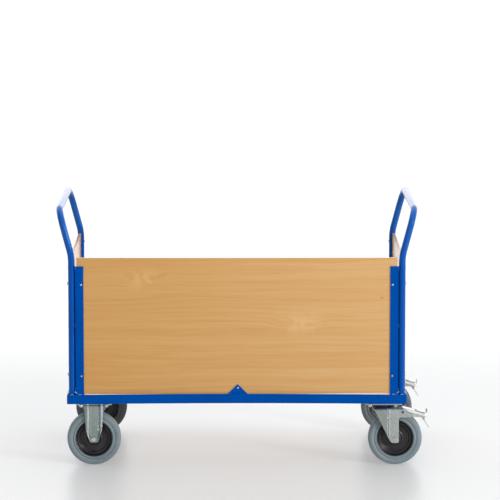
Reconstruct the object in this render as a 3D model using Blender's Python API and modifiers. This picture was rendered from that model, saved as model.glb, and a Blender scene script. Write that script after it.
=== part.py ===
"""Three-sided platform trolley: a welded angle-steel frame with an inlaid deck board, two tubular push
bars, two end walls, one long front wall, two fixed casters on the left and two braked swivel casters on
the right. Metres, +Z up, front wall towards -Y. The origin is on the floor under the middle of the
overall box. Run it with: blender --background --python part.py
"""

import math

import bmesh
import bpy
from mathutils import Matrix, Vector

# ---- driving dimensions, in metres ----------------------------------------------------------------
GAP = 0.0003  # kept between pieces that touch on the real object

WHEEL_RADIUS = 0.100
CASTER_HEIGHT = 0.235
FRAME_LENGTH = 1.260
FRAME_WIDTH = 0.800
RAIL_HEIGHT = 0.035
RAIL_WALL = 0.004
FRAME_BOTTOM = CASTER_HEIGHT + 0.0005
FRAME_TOP = FRAME_BOTTOM + RAIL_HEIGHT
HALF_LENGTH = FRAME_LENGTH / 2
HALF_WIDTH = FRAME_WIDTH / 2

DECK_THICKNESS = 0.019
DECK_BOTTOM = FRAME_BOTTOM + RAIL_WALL + GAP
DECK_TOP = DECK_BOTTOM + DECK_THICKNESS

TUBE_RADIUS = 0.0125
TUBE_WALL = 0.0015
TUBE_INSET = 0.019  # from the frame's outer face to the tube's axis
TUBE_X = HALF_LENGTH - TUBE_INSET
TUBE_Y = HALF_WIDTH - TUBE_INSET
BAR_BEND_HEIGHT = 0.7866  # where the straight and the raked stretches would meet
BAR_TILT = math.radians(15.0)
BAR_HEIGHT = 0.9570  # axis of the cross bar
BAR_BEND_RADIUS = 0.180
BAR_CORNER_RADIUS = 0.070

STRIP_THICKNESS = 0.003
STRIP_WIDTH = 0.030
STRIP_TOP = 0.750
STRIP_BOTTOM = DECK_TOP + 0.0025
STRIP_INSET = TUBE_INSET - TUBE_RADIUS  # the strips are flush with the tubes' outer side
PANEL_THICKNESS = 0.010
PANEL_BOTTOM = FRAME_TOP + 0.0018
PANEL_TOP = 0.781
PANEL_TUBE_GAP = 0.0065

SCREW_SHANK_RADIUS = 0.0025
SCREW_HEAD_RADIUS = 0.0050
SCREW_HEAD_HEIGHT = 0.0026
SCREW_LENGTH = 0.011
SCREW_FROM_STRIP_EDGE = 0.0085
SCREW_HEIGHTS = {"upper": 0.681, "lower": 0.3405}

GUSSET_X = 0.003
GUSSET_APEX = 0.309
GUSSET_HALF_BASE = 0.049
GUSSET_SCREW_HEIGHT = 0.2957

CARRIER_INNER_EDGE = 0.462  # from the frame's middle; the outer edge meets the end rail's lower leg
CASTER_Y = 0.3376
FIXED_X = -0.532
SWIVEL_X = 0.546
SWIVEL_OFFSET = 0.043
CASTER_PLATE = (0.135, 0.110, 0.004)
PLATE_BOTTOM = CASTER_HEIGHT - CASTER_PLATE[2]

TYRE_BORE = 0.0685
RIM_RADIUS = TYRE_BORE - GAP
HUB_HALF_LENGTH = 0.0295
SLEEVE_RADIUS = 0.0097
RIM_BORE = SLEEVE_RADIUS + 0.0004
AXLE_RADIUS = 0.006
AXLE_HOLE = AXLE_RADIUS + GAP
AXLE_HEX = 0.011
AXLE_HEAD = 0.0075
AXLE_NUT = 0.010
LEG_INNER = 0.031  # from the wheel's middle plane to the leg's inner face
LEG_WALL = 0.0035
LEG_OUTER = LEG_INNER + LEG_WALL

CROWN_TOP = 0.2135
CROWN_WALL = 0.004
RACE_OUTER = 0.034
RACE_INNER = 0.024
KINGPIN_RADIUS = 0.008
KINGPIN_HEAD_RADIUS = 0.014

# The brake pedal, in X and Z from the wheel's axle.
PIVOT_X = 0.028
PIVOT_Z = 0.0994
PIVOT_RADIUS = 0.0048
PEDAL_TRAVEL = math.radians(9.0)
PEDAL_SLOPE = -0.2657
PEDAL_WEB_START = 0.0290
PEDAL_WEB_END = 0.1195
PEDAL_TOP_AT_START = 0.1136
PEDAL_WALL = 0.0025
PEDAL_HALF_WIDTH = 0.0352
FLANGE_INNER = 0.0275
FLANGE_END = 0.106
FLANGE_BOTTOM = 0.0805
STEP_SLOPE = -1.19
STEP_TIP = (0.1278, 0.0422)
STEP_HALF_WIDTH = 0.0262
TAB_START = 0.076
TAB_END = 0.1190
TAB_TOP = 0.1086
TAB_HALF_WIDTH = 0.022
SHOE_HALF_WIDTH = 0.021
SHOE_ANGLES = (math.radians(26.0), math.radians(42.0))  # from straight up, towards the pedal

WHEEL_STEPS = 32
ROUND_STEPS = 16
ARC_STEPS = 5

BAR_LEAN = (BAR_HEIGHT - BAR_BEND_HEIGHT) * math.tan(BAR_TILT)
LEFT_REACH = TUBE_X + BAR_LEAN + TUBE_RADIUS
RIGHT_REACH = SWIVEL_X + SWIVEL_OFFSET + STEP_TIP[0]
FRAME_SHIFT = (LEFT_REACH - RIGHT_REACH) / 2  # puts the origin under the middle of the overall box

FINISHES = {
    "blue_paint": ((0.002, 0.072, 0.342, 1.0), 0.35, 0.0),
    "beech": ((0.640, 0.360, 0.140, 1.0), 0.50, 0.0),
    "zinc": ((0.560, 0.600, 0.580, 1.0), 0.35, 1.0),
    "tyre_grey": ((0.190, 0.230, 0.250, 1.0), 0.60, 0.0),
    "rim_black": ((0.020, 0.020, 0.022, 1.0), 0.45, 0.0),
}


# ---- helpers --------------------------------------------------------------------------------------
def clear_scene():
    """Removes every object, so that the script can be run again in the same file."""
    for obj in list(bpy.data.objects):
        bpy.data.objects.remove(obj)


def make_collection(name):
    """Returns a new collection linked to the scene."""
    made = bpy.data.collections.new(name)
    bpy.context.scene.collection.children.link(made)
    return made


def make_finish(name):
    """Returns the named Principled material."""
    colour, roughness, metallic = FINISHES[name]
    made = bpy.data.materials.new(name)
    made.use_nodes = True
    shader = made.node_tree.nodes["Principled BSDF"]
    shader.inputs["Base Color"].default_value = colour
    shader.inputs["Roughness"].default_value = roughness
    shader.inputs["Metallic"].default_value = metallic
    made.diffuse_color = colour
    return made


def make_empty(name, location, parent=None):
    """Returns an empty that other objects are parented to."""
    made = bpy.data.objects.new(name, None)
    made.location = location
    made.parent = parent
    trolley.objects.link(made)
    return made


def place(name, data, finish, parent, location=(0, 0, 0), rotation=(0, 0, 0)):
    """Adds an object with this mesh or curve to the trolley."""
    made = bpy.data.objects.new(name, data)
    if not data.materials:
        data.materials.append(finishes[finish])
    made.location = location
    made.rotation_euler = rotation
    made.parent = parent
    trolley.objects.link(made)
    return made


def arc(centre, radius, start, end, steps):
    """Points on a circle about centre, from one angle to another, both ends included."""
    turns = (start + (end - start) * i / steps for i in range(steps + 1))
    return [(centre[0] + radius * math.cos(t), centre[1] + radius * math.sin(t)) for t in turns]


def circle(centre, radius, steps=ROUND_STEPS):
    """A closed round outline."""
    return arc(centre, radius, 0, math.tau, steps)[:-1]


def fillet(corners, steps=ARC_STEPS, closed=False):
    """Rounds a path. Each corner is (point, radius); a radius of 0 keeps the corner sharp."""
    path = []
    count = len(corners)
    for i, (point, radius) in enumerate(corners):
        point = Vector(point)
        at_end = not closed and i in (0, count - 1)
        if at_end or radius == 0:
            path.append(point)
            continue
        before = (Vector(corners[i - 1][0]) - point).normalized()
        after = (Vector(corners[(i + 1) % count][0]) - point).normalized()
        half = before.angle(after) / 2
        middle = point + (before + after).normalized() * radius / math.sin(half)
        first = point + before * radius / math.tan(half) - middle
        last = point + after * radius / math.tan(half) - middle
        swing = first.angle(last)
        for k in range(steps + 1):
            share = k / steps
            near = math.sin((1 - share) * swing) / math.sin(swing)
            far = math.sin(share * swing) / math.sin(swing)
            path.append(middle + first * near + last * far)
    return path


def flat_curve(outlines, thickness):
    """A flat outline with holes as a filled 2D curve, extruded to a thickness about its own plane."""
    made = bpy.data.curves.new("outline", "CURVE")
    made.dimensions = "2D"
    made.fill_mode = "BOTH"
    made.extrude = thickness / 2
    for outline in outlines:
        spline = made.splines.new("POLY")
        spline.points.add(len(outline) - 1)
        for spot, (x, y) in zip(spline.points, outline):
            spot.co = (x, y, 0, 1)
        spline.use_cyclic_u = True
    return made


def mesh_of(curve):
    """The closed mesh of a curve: its caps are welded to its sides and the curve is removed."""
    holder = bpy.data.objects.new("holder", curve)
    bpy.context.scene.collection.objects.link(holder)
    graph = bpy.context.evaluated_depsgraph_get()
    made = bpy.data.meshes.new_from_object(holder.evaluated_get(graph))
    bpy.data.objects.remove(holder)
    bpy.data.curves.remove(curve)
    shape = bmesh.new()
    shape.from_mesh(made)
    bmesh.ops.remove_doubles(shape, verts=shape.verts, dist=1e-6)
    bmesh.ops.recalc_face_normals(shape, faces=shape.faces)
    shape.to_mesh(made)
    shape.free()
    return made


def sheet_mesh(outlines, thickness, matrix=None):
    """A plate cut to an outline, as a mesh. Its outline lies in X and Y before the matrix."""
    made = mesh_of(flat_curve(outlines, thickness))
    if matrix is not None:
        made.transform(matrix)
    return made


def box_mesh(low, high):
    """A box between two corners."""
    low, high = Vector(low), Vector(high)
    made = bpy.data.meshes.new("box")
    shape = bmesh.new()
    scale = Matrix.Diagonal((*(high - low), 1))
    bmesh.ops.create_cube(shape, size=1, matrix=Matrix.Translation((low + high) / 2) @ scale)
    shape.to_mesh(made)
    shape.free()
    return made


def rod_mesh(radius, start, end, steps=ROUND_STEPS):
    """A round or six-sided rod along Y, from start to end."""
    made = bpy.data.meshes.new("rod")
    shape = bmesh.new()
    turn = Matrix.Translation((0, (start + end) / 2, 0)) @ Matrix.Rotation(math.pi / 2, 4, "X")
    bmesh.ops.create_cone(
        shape, cap_ends=True, segments=steps, radius1=radius, radius2=radius,
        depth=end - start, matrix=turn,
    )
    shape.to_mesh(made)
    shape.free()
    return made


def union(*meshes):
    """One closed mesh from several that overlap each other."""
    objects = []
    for mesh in meshes:
        piece = bpy.data.objects.new("piece", mesh)
        bpy.context.scene.collection.objects.link(piece)
        objects.append(piece)
    base = objects[0]
    for tool in objects[1:]:
        join = base.modifiers.new("join", "BOOLEAN")
        join.operation = "UNION"
        join.object = tool
    graph = bpy.context.evaluated_depsgraph_get()
    made = bpy.data.meshes.new_from_object(base.evaluated_get(graph))
    for piece in objects:
        bpy.data.objects.remove(piece)
    return made


def turned(name, profile, finish, parent, steps, location=(0, 0, 0), along_y=True):
    """A turned ring or solid: a closed outline of (radius, height), outer side downwards, about Z or Y."""
    mesh = bpy.data.meshes.new(name)
    points = [(radius, 0, height) for radius, height in profile]
    edges = [(i, (i + 1) % len(points)) for i in range(len(points))]
    mesh.from_pydata(points, edges, [])
    made = place(name, mesh, finish, parent, location, (math.pi / 2 if along_y else 0, 0, 0))
    screw = made.modifiers.new("turn", "SCREW")
    screw.steps = steps
    screw.render_steps = steps
    screw.use_merge_vertices = True
    screw.merge_threshold = 1e-5
    return made


def standing(x_to="X"):
    """Turns an outline in X and Y to stand up, with its width along X or Y and its height along Z."""
    upright = Matrix.Rotation(math.pi / 2, 4, "X")
    return upright if x_to == "X" else Matrix.Rotation(math.pi / 2, 4, "Z") @ upright


# ---- frame ----------------------------------------------------------------------------------------
def angle_rail_mesh(length):
    """One rail along X with its outer face towards -Y: an angle section, mitred at both ends."""
    section = [
        (0, 0),
        (RAIL_HEIGHT, 0),
        (RAIL_HEIGHT, RAIL_WALL),
        (RAIL_WALL, RAIL_WALL),
        (RAIL_WALL, RAIL_HEIGHT),
        (0, RAIL_HEIGHT),
    ]
    made = sheet_mesh([section], length, standing("Y"))
    shape = bmesh.new()
    shape.from_mesh(made)
    for side in (-1, 1):
        bmesh.ops.bisect_plane(
            shape,
            geom=[*shape.verts, *shape.edges, *shape.faces],
            plane_co=(side * (length / 2 - GAP), 0, 0),
            plane_no=(side, 1, 0),
            clear_outer=True,
        )
        bmesh.ops.holes_fill(shape, edges=[e for e in shape.edges if e.is_boundary])
    bmesh.ops.recalc_face_normals(shape, faces=shape.faces)
    shape.to_mesh(made)
    shape.free()
    return made


def build_frame(root):
    """The four mitred rails, the two flat carriers above the casters and the deck board."""
    long_rail = angle_rail_mesh(FRAME_LENGTH)
    end_rail = angle_rail_mesh(FRAME_WIDTH)
    for name, mesh, spot, turn in (
        ("front_rail", long_rail, (0, -HALF_WIDTH), 0),
        ("rear_rail", long_rail, (0, HALF_WIDTH), math.pi),
        ("left_rail", end_rail, (-HALF_LENGTH, 0), -math.pi / 2),
        ("right_rail", end_rail, (HALF_LENGTH, 0), math.pi / 2),
    ):
        place(name, mesh, "blue_paint", root, (*spot, FRAME_BOTTOM), (0, 0, turn))
    reach = HALF_WIDTH - RAIL_HEIGHT - GAP
    outer_edge = HALF_LENGTH - RAIL_HEIGHT - GAP
    carrier = box_mesh((CARRIER_INNER_EDGE, -reach, 0), (outer_edge, reach, RAIL_WALL))
    for side, turn in (("left", math.pi), ("right", 0)):
        place(f"{side}_caster_carrier", carrier, "blue_paint", root, (0, 0, FRAME_BOTTOM), (0, 0, turn))
    deck_x = HALF_LENGTH - RAIL_WALL - GAP
    deck_y = HALF_WIDTH - RAIL_WALL - GAP
    notch_x = TUBE_X - TUBE_RADIUS - 0.0015
    notch_y = TUBE_Y - TUBE_RADIUS - 0.0015
    corner = [(deck_x, notch_y), (notch_x, notch_y), (notch_x, deck_y)]
    outline = []
    for sx, sy in ((1, 1), (-1, 1), (-1, -1), (1, -1)):
        run = [(sx * x, sy * y) for x, y in corner]
        outline += run if sx * sy > 0 else run[::-1]
    deck = flat_curve([outline], DECK_THICKNESS)
    place("deck_board", deck, "beech", root, (0, 0, (DECK_BOTTOM + DECK_TOP) / 2))


# ---- push bars ------------------------------------------------------------------------------------
def build_push_bar(root, name, side):
    """One bent tube: two uprights in the frame's corners, raked outwards to a cross bar."""
    foot = FRAME_BOTTOM + RAIL_WALL + GAP
    near, far = side * TUBE_X, side * (TUBE_X + BAR_LEAN)
    path = fillet(
        [
            ((near, -TUBE_Y, foot), 0),
            ((near, -TUBE_Y, BAR_BEND_HEIGHT), BAR_BEND_RADIUS),
            ((far, -TUBE_Y, BAR_HEIGHT), BAR_CORNER_RADIUS),
            ((far, TUBE_Y, BAR_HEIGHT), BAR_CORNER_RADIUS),
            ((near, TUBE_Y, BAR_BEND_HEIGHT), BAR_BEND_RADIUS),
            ((near, TUBE_Y, foot), 0),
        ],
        steps=4,
    )
    curve = bpy.data.curves.new(name, "CURVE")
    curve.dimensions = "3D"
    curve.bevel_depth = TUBE_RADIUS
    curve.bevel_resolution = 4
    spline = curve.splines.new("POLY")
    spline.points.add(len(path) - 1)
    for spot, point in zip(spline.points, path):
        spot.co = (*point, 1)
    bar = place(name, mesh_of(curve), "blue_paint", root)
    wall = bar.modifiers.new("wall", "SOLIDIFY")
    wall.thickness = TUBE_WALL
    wall.offset = -1
    return bar


# ---- walls ----------------------------------------------------------------------------------------
def build_walls(root):
    """The front wall with its strips, gusset and screws, and the two end walls with theirs."""
    strip_middle = STRIP_INSET + STRIP_THICKNESS / 2
    panel_middle = STRIP_INSET + STRIP_THICKNESS + GAP + PANEL_THICKNESS / 2
    strip_gap = TUBE_RADIUS + 0.0020  # from the tube's axis to the strip's edge
    strip_height = STRIP_TOP - STRIP_BOTTOM
    half_strip = STRIP_WIDTH / 2
    screw_hole = SCREW_SHANK_RADIUS + GAP
    screw_x = TUBE_X - strip_gap - STRIP_WIDTH + SCREW_FROM_STRIP_EDGE

    def strip_outlines(holes):
        """A strip with its lower edge at 0, and the holes for its screws."""
        edge = [(-half_strip, 0), (half_strip, 0), (half_strip, strip_height), (-half_strip, strip_height)]
        return [edge, *(circle(hole, screw_hole, 8) for hole in holes)]

    strip_x = TUBE_X - strip_gap - half_strip
    for side, sign in (("left", -1), ("right", 1)):
        from_middle = sign * (screw_x - strip_x)
        holes = [(from_middle, height - STRIP_BOTTOM) for height in SCREW_HEIGHTS.values()]
        mesh = sheet_mesh(strip_outlines(holes), STRIP_THICKNESS, standing("X"))
        spot = (sign * strip_x, -HALF_WIDTH + strip_middle, STRIP_BOTTOM)
        place(f"front_strip_{side}", mesh, "blue_paint", root, spot)

    end_strip = sheet_mesh(strip_outlines([]), STRIP_THICKNESS, standing("Y"))
    strip_y = TUBE_Y - strip_gap - half_strip
    for side, sx in (("left", -1), ("right", 1)):
        for end, sy in (("front", -1), ("rear", 1)):
            spot = (sx * (HALF_LENGTH - strip_middle), sy * strip_y, STRIP_BOTTOM)
            place(f"{side}_end_strip_{end}", end_strip, "blue_paint", root, spot)

    front_half = TUBE_X - TUBE_RADIUS - PANEL_TUBE_GAP
    screws = [
        (f"front_screw_{side}_{level}", sign * screw_x, height)
        for side, sign in (("left", -1), ("right", 1))
        for level, height in SCREW_HEIGHTS.items()
    ]
    screws.append(("gusset_screw", GUSSET_X, GUSSET_SCREW_HEIGHT))
    edge = [
        (-front_half, PANEL_BOTTOM), (front_half, PANEL_BOTTOM), (front_half, PANEL_TOP), (-front_half, PANEL_TOP),
    ]
    holes = [circle((x, height), screw_hole, 8) for _, x, height in screws]
    front = sheet_mesh([edge, *holes], PANEL_THICKNESS, standing("X"))
    place("front_panel", front, "beech", root, (0, -HALF_WIDTH + panel_middle, 0))

    end_half = TUBE_Y - TUBE_RADIUS - PANEL_TUBE_GAP
    end = box_mesh((-PANEL_THICKNESS / 2, -end_half, PANEL_BOTTOM), (PANEL_THICKNESS / 2, end_half, PANEL_TOP))
    for side, sign in (("left", -1), ("right", 1)):
        place(f"{side}_end_panel", end, "beech", root, (sign * (HALF_LENGTH - panel_middle), 0, 0))

    triangle = [(-GUSSET_HALF_BASE, STRIP_BOTTOM), (GUSSET_HALF_BASE, STRIP_BOTTOM), (0, GUSSET_APEX)]
    outlines = [triangle, circle((0, GUSSET_SCREW_HEIGHT), screw_hole, 8)]
    gusset = sheet_mesh(outlines, STRIP_THICKNESS, standing("X"))
    place("panel_gusset", gusset, "blue_paint", root, (GUSSET_X, -HALF_WIDTH + strip_middle, 0))

    face = -HALF_WIDTH + STRIP_INSET - GAP
    head = rod_mesh(SCREW_HEAD_RADIUS, -SCREW_HEAD_HEIGHT, 0, 12)
    shank = rod_mesh(SCREW_SHANK_RADIUS, -SCREW_HEAD_HEIGHT / 2, SCREW_LENGTH, 8)
    screw = union(head, shank)
    for name, x, height in screws:
        place(name, screw, "zinc", root, (x, face, height))


# ---- casters --------------------------------------------------------------------------------------
def tyre_profile():
    """The tyre's section as (radius, width across), symmetric, outer side first."""
    half = [(WHEEL_RADIUS, 0.014), (0.0972, 0.0215), (0.0915, 0.0250), (TYRE_BORE, 0.0238)]
    return half[::-1] + [(radius, -width) for radius, width in half]


def rim_profile():
    """The rim's section: outer band, thin web and hub with its bore."""
    half = [
        (RIM_RADIUS, 0.0225),
        (0.0600, 0.0225),
        (0.0565, 0.0070),
        (0.0260, 0.0055),
        (0.0215, HUB_HALF_LENGTH),
        (RIM_BORE, HUB_HALF_LENGTH),
    ]
    return half[::-1] + [(radius, -width) for radius, width in half]


def build_wheel(name, parent, location):
    """A tyre and its rim about an empty on the axle."""
    axle = make_empty(f"{name}_wheel_axle", location, parent)
    turned(f"{name}_tyre", tyre_profile(), "tyre_grey", axle, WHEEL_STEPS)
    turned(f"{name}_rim", rim_profile(), "rim_black", axle, WHEEL_STEPS)


def build_axle(name, parent, location, outward):
    """The axle bolt, its nut and the sleeve that the wheel turns on. The bolt's head is on the outer side."""
    turn = (0, 0, 0 if outward < 0 else math.pi)
    face = LEG_OUTER + GAP
    head = rod_mesh(AXLE_HEX, -face - AXLE_HEAD, -face, 6)
    shank = rod_mesh(AXLE_RADIUS, -face - AXLE_HEAD / 2, face + AXLE_NUT + 0.002, 12)
    place(f"{name}_axle_bolt", union(head, shank), "zinc", parent, location, turn)
    nut = [circle((0, 0), AXLE_HEX, 6), circle((0, 0), AXLE_HOLE, 12)]
    nut_mesh = sheet_mesh(nut, AXLE_NUT, standing("X"))
    middle = face + AXLE_NUT / 2
    spot = (location[0], location[1] - outward * middle, location[2])
    place(f"{name}_axle_nut", nut_mesh, "zinc", parent, spot)
    half = LEG_INNER - GAP
    profile = [(SLEEVE_RADIUS, half), (SLEEVE_RADIUS, -half), (AXLE_HOLE, -half), (AXLE_HOLE, half)]
    turned(f"{name}_axle_sleeve", profile, "zinc", parent, ROUND_STEPS, location)


def both_legs(outlines):
    """Two equal upright sheets, one on each side of the wheel."""
    middle = LEG_INNER + LEG_WALL / 2
    return [
        sheet_mesh(outlines, LEG_WALL, Matrix.Translation((0, side * middle, 0)) @ standing("X"))
        for side in (-1, 1)
    ]


def plate_mesh(hole=None):
    """The caster's top plate about its own middle, with its upper face at the caster's height."""
    half_x, half_y, rim = CASTER_PLATE[0] / 2, CASTER_PLATE[1] / 2, 0.008
    corners = [((-half_x, -half_y), rim), ((half_x, -half_y), rim), ((half_x, half_y), rim), ((-half_x, half_y), rim)]
    outlines = [[tuple(p[:2]) for p in fillet([((*c, 0), r) for c, r in corners], 3, closed=True)]]
    if hole:
        outlines.append(circle((0, 0), hole, ROUND_STEPS))
    return sheet_mesh(outlines, CASTER_PLATE[2], Matrix.Translation((0, 0, CASTER_HEIGHT - CASTER_PLATE[2] / 2)))


def flat_fillet(corners, steps=3):
    """A closed outline in two dimensions, rounded at the corners that have a radius."""
    return [tuple(p[:2]) for p in fillet([((x, y, 0), r) for x, y, r in corners], steps, closed=True)]


def build_fixed_caster(root, name, side):
    """A fixed caster: pressed bracket, axle and wheel."""
    spot = (FIXED_X, side * CASTER_Y, 0)
    top = CASTER_HEIGHT - CASTER_PLATE[2] / 2
    half = [(0.0140, 0.0840, 0.006), (0.0295, 0.1285, 0.010), (0.0340, 0.2060, 0.020), (0.0600, top, 0)]
    leg = flat_fillet([*half, *((-x, z, r) for x, z, r in half[::-1])])
    legs = both_legs([leg, circle((0, WHEEL_RADIUS), AXLE_HOLE, 12)])
    place(f"{name}_bracket", union(plate_mesh(), *legs), "zinc", root, spot)
    axle = (spot[0], spot[1], WHEEL_RADIUS)
    build_axle(name, root, axle, side)
    build_wheel(name, root, axle)


def pedal_top(x):
    """Height of the pedal's upper face above the axle."""
    return PEDAL_TOP_AT_START + PEDAL_SLOPE * (x - PEDAL_WEB_START)


def fork_mesh():
    """The swivel fork about the wheel's axle: crown, two legs and the arms that carry the pedal."""
    top = CROWN_TOP - WHEEL_RADIUS
    leg = flat_fillet(
        [
            (-0.0860, top, 0.002),
            (-0.0745, 0.1030, 0.004),
            (-0.0225, -0.0030, 0.010),
            (-0.0130, -0.0165, 0.008),
            (0.0135, -0.0165, 0.006),
            (0.0130, 0.0790, 0.006),
            (0.0640, 0.0800, 0.004),
            (0.0640, 0.0920, 0.004),
            (0.0290, 0.1080, 0.002),
            (0.0270, top, 0.001),
        ]
    )
    holes = [circle((0, 0), AXLE_HOLE, 12), circle((PIVOT_X, PIVOT_Z), PIVOT_RADIUS + GAP, 12)]
    crown_half = LEG_INNER + LEG_WALL / 2
    crown = flat_fillet(
        [
            (-0.0860, -crown_half, 0.012), (0.0120, -crown_half, 0.004),
            (0.0120, crown_half, 0.004), (-0.0860, crown_half, 0.012),
        ]
    )
    lift = Matrix.Translation((0, 0, top - CROWN_WALL / 2))
    kingpin_hole = circle((-SWIVEL_OFFSET, 0), KINGPIN_RADIUS + GAP, ROUND_STEPS)
    crown_mesh = sheet_mesh([crown, kingpin_hole], CROWN_WALL, lift)
    return union(crown_mesh, *both_legs([leg, *holes]))


def pedal_mesh():
    """The pedal about the axle: a sloping web over the arms, two flanges between them and two stub pins."""
    web = [
        (PEDAL_WEB_START, pedal_top(PEDAL_WEB_START)),
        (PEDAL_WEB_START, pedal_top(PEDAL_WEB_START) - PEDAL_WALL),
        (PEDAL_WEB_END, pedal_top(PEDAL_WEB_END) - PEDAL_WALL),
        (PEDAL_WEB_END, pedal_top(PEDAL_WEB_END)),
    ]
    pieces = [sheet_mesh([web], 2 * PEDAL_HALF_WIDTH, standing("X"))]
    overlap = PEDAL_WALL / 2
    flange = [
        (PEDAL_WEB_START + 0.001, pedal_top(PEDAL_WEB_START + 0.001) - overlap),
        (PIVOT_X - 0.007, PIVOT_Z + 0.001),
        (PIVOT_X - 0.004, PIVOT_Z - 0.009),
        (0.048, FLANGE_BOTTOM),
        (FLANGE_END, FLANGE_BOTTOM),
        (FLANGE_END, pedal_top(FLANGE_END) - overlap),
    ]
    for side in (-1, 1):
        middle = Matrix.Translation((0, side * (FLANGE_INNER + PEDAL_WALL / 2), 0))
        pieces.append(sheet_mesh([flange], PEDAL_WALL, middle @ standing("X")))
        ends = sorted((side * (FLANGE_INNER + PEDAL_WALL / 2), side * (LEG_OUTER + 0.0012)))
        stub = rod_mesh(PIVOT_RADIUS, *ends, 12)
        stub.transform(Matrix.Translation((PIVOT_X, 0, PIVOT_Z)))
        pieces.append(stub)
    return union(*pieces)


def step_mesh():
    """The step plate under the pedal's end, sloping down to its tip."""
    along = Vector((1, STEP_SLOPE)).normalized()
    across = Vector((along.y, -along.x)) * PEDAL_WALL
    tip = Vector(STEP_TIP) - Vector((max(across.x, 0), 0))
    clear = pedal_top(tip.x) - PEDAL_WALL - 0.0006
    lift = (clear - tip.y) / (STEP_SLOPE - PEDAL_SLOPE)
    head = tip + Vector((lift, STEP_SLOPE * lift))
    outline = [tuple(tip), tuple(head), tuple(head + across), tuple(tip + across)]
    return sheet_mesh([outline], 2 * STEP_HALF_WIDTH, standing("X"))


def tab_mesh():
    """The release tab: a flat on the pedal's web with its end turned up."""
    lift = GAP
    base = [(x, pedal_top(x) + lift) for x in (TAB_START, TAB_END)]
    outline = [
        base[0],
        base[1],
        (TAB_END + 0.0008, TAB_TOP),
        (TAB_END + 0.0008 - PEDAL_WALL, TAB_TOP),
        (TAB_END - PEDAL_WALL, base[1][1] + PEDAL_WALL),
        (TAB_START, base[0][1] + PEDAL_WALL),
    ]
    return sheet_mesh([outline], 2 * TAB_HALF_WIDTH, standing("X"))


def shoe_mesh():
    """The brake shoe: its lower face meets the tread when the pedal is at the end of its travel."""
    pivot = Vector((PIVOT_X, PIVOT_Z))
    back = Matrix.Rotation(PEDAL_TRAVEL, 2)
    lower = []
    for i in range(ARC_STEPS + 1):
        angle = SHOE_ANGLES[0] + (SHOE_ANGLES[1] - SHOE_ANGLES[0]) * i / ARC_STEPS
        pressed = Vector((math.sin(angle), math.cos(angle))) * (WHEEL_RADIUS + 0.0006)
        lower.append(tuple(pivot + back @ (pressed - pivot)))
    upper = [(x, pedal_top(x) - PEDAL_WALL - 0.0004) for x, _ in (lower[-1], lower[0])]
    return sheet_mesh([lower + upper], 2 * SHOE_HALF_WIDTH, standing("X"))


def build_swivel_caster(root, name, side):
    """A swivel caster with a wheel brake: plate and kingpin on the frame, the rest turns about the kingpin."""
    spot = (SWIVEL_X, side * CASTER_Y, 0)
    race_bottom = CROWN_TOP + 0.0005
    race = rod_mesh(RACE_OUTER, -PLATE_BOTTOM - CASTER_PLATE[2] / 2, -race_bottom, ROUND_STEPS * 2)
    race.transform(Matrix.Rotation(-math.pi / 2, 4, "X"))
    solid = union(plate_mesh(), race)
    top_plate = place(f"{name}_top_plate", solid, "zinc", root, spot)
    bore = bpy.data.objects.new(f"{name}_race_cutter", rod_mesh(KINGPIN_RADIUS + GAP, -1, 0, ROUND_STEPS))
    bore.location = spot
    bore.rotation_euler = (-math.pi / 2, 0, 0)
    bore.parent = root
    bore.hide_render = True
    bore.display_type = "WIRE"
    cutters.objects.link(bore)
    cut = top_plate.modifiers.new("bore", "BOOLEAN")
    cut.object = bore

    head_top = CROWN_TOP - CROWN_WALL - 0.0005
    profile = [
        (0, CASTER_HEIGHT), (KINGPIN_RADIUS, CASTER_HEIGHT), (KINGPIN_RADIUS, head_top),
        (KINGPIN_HEAD_RADIUS, head_top), (KINGPIN_HEAD_RADIUS, head_top - 0.003),
        (KINGPIN_HEAD_RADIUS - 0.004, head_top - 0.006), (0, head_top - 0.006),
    ]
    turned(f"{name}_kingpin", profile, "zinc", root, ROUND_STEPS, spot, along_y=False)

    swivel = make_empty(f"{name}_swivel_axis", spot, root)
    axle = (SWIVEL_OFFSET, 0, WHEEL_RADIUS)
    place(f"{name}_fork", fork_mesh(), "zinc", swivel, axle)
    build_axle(name, swivel, axle, side)
    build_wheel(name, swivel, axle)
    hinge = make_empty(f"{name}_pedal_pivot", (axle[0] + PIVOT_X, 0, axle[2] + PIVOT_Z), swivel)
    from_hinge = (-PIVOT_X, 0, -PIVOT_Z)
    for part, mesh in (
        ("pedal", pedal_mesh()),
        ("step_plate", step_mesh()),
        ("release_tab", tab_mesh()),
        ("brake_shoe", shoe_mesh()),
    ):
        place(f"{name}_{part}", mesh, "zinc", hinge, from_hinge)


# ---- assembly -------------------------------------------------------------------------------------
clear_scene()
trolley = make_collection("platform_trolley")
cutters = make_collection("cutters")
finishes = {name: make_finish(name) for name in FINISHES}
frame_centre = make_empty("frame_centre", (FRAME_SHIFT, 0, 0))
build_frame(frame_centre)
build_push_bar(frame_centre, "left_push_bar", -1)
build_push_bar(frame_centre, "right_push_bar", 1)
build_walls(frame_centre)
for place_name, y_side in (("front_left", -1), ("rear_left", 1)):
    build_fixed_caster(frame_centre, place_name, y_side)
for place_name, y_side in (("front_right", -1), ("rear_right", 1)):
    build_swivel_caster(frame_centre, place_name, y_side)
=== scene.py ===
"""Looks of a three-sided platform trolley: blue powder-coated steel, beech-coloured boards and zinc casters.

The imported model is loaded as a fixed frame. Each sub-assembly is a class that builds its own meshes from
sizes in metres and dresses them; each finish is a small frozen class that makes one procedural material.
"""

import logging
import math
from dataclasses import dataclass
from enum import Enum
from typing import Callable, Iterable, Optional, Sequence

import bmesh
import bpy
from mathutils import Matrix, Vector
from mathutils.geometry import delaunay_2d_cdt


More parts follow.
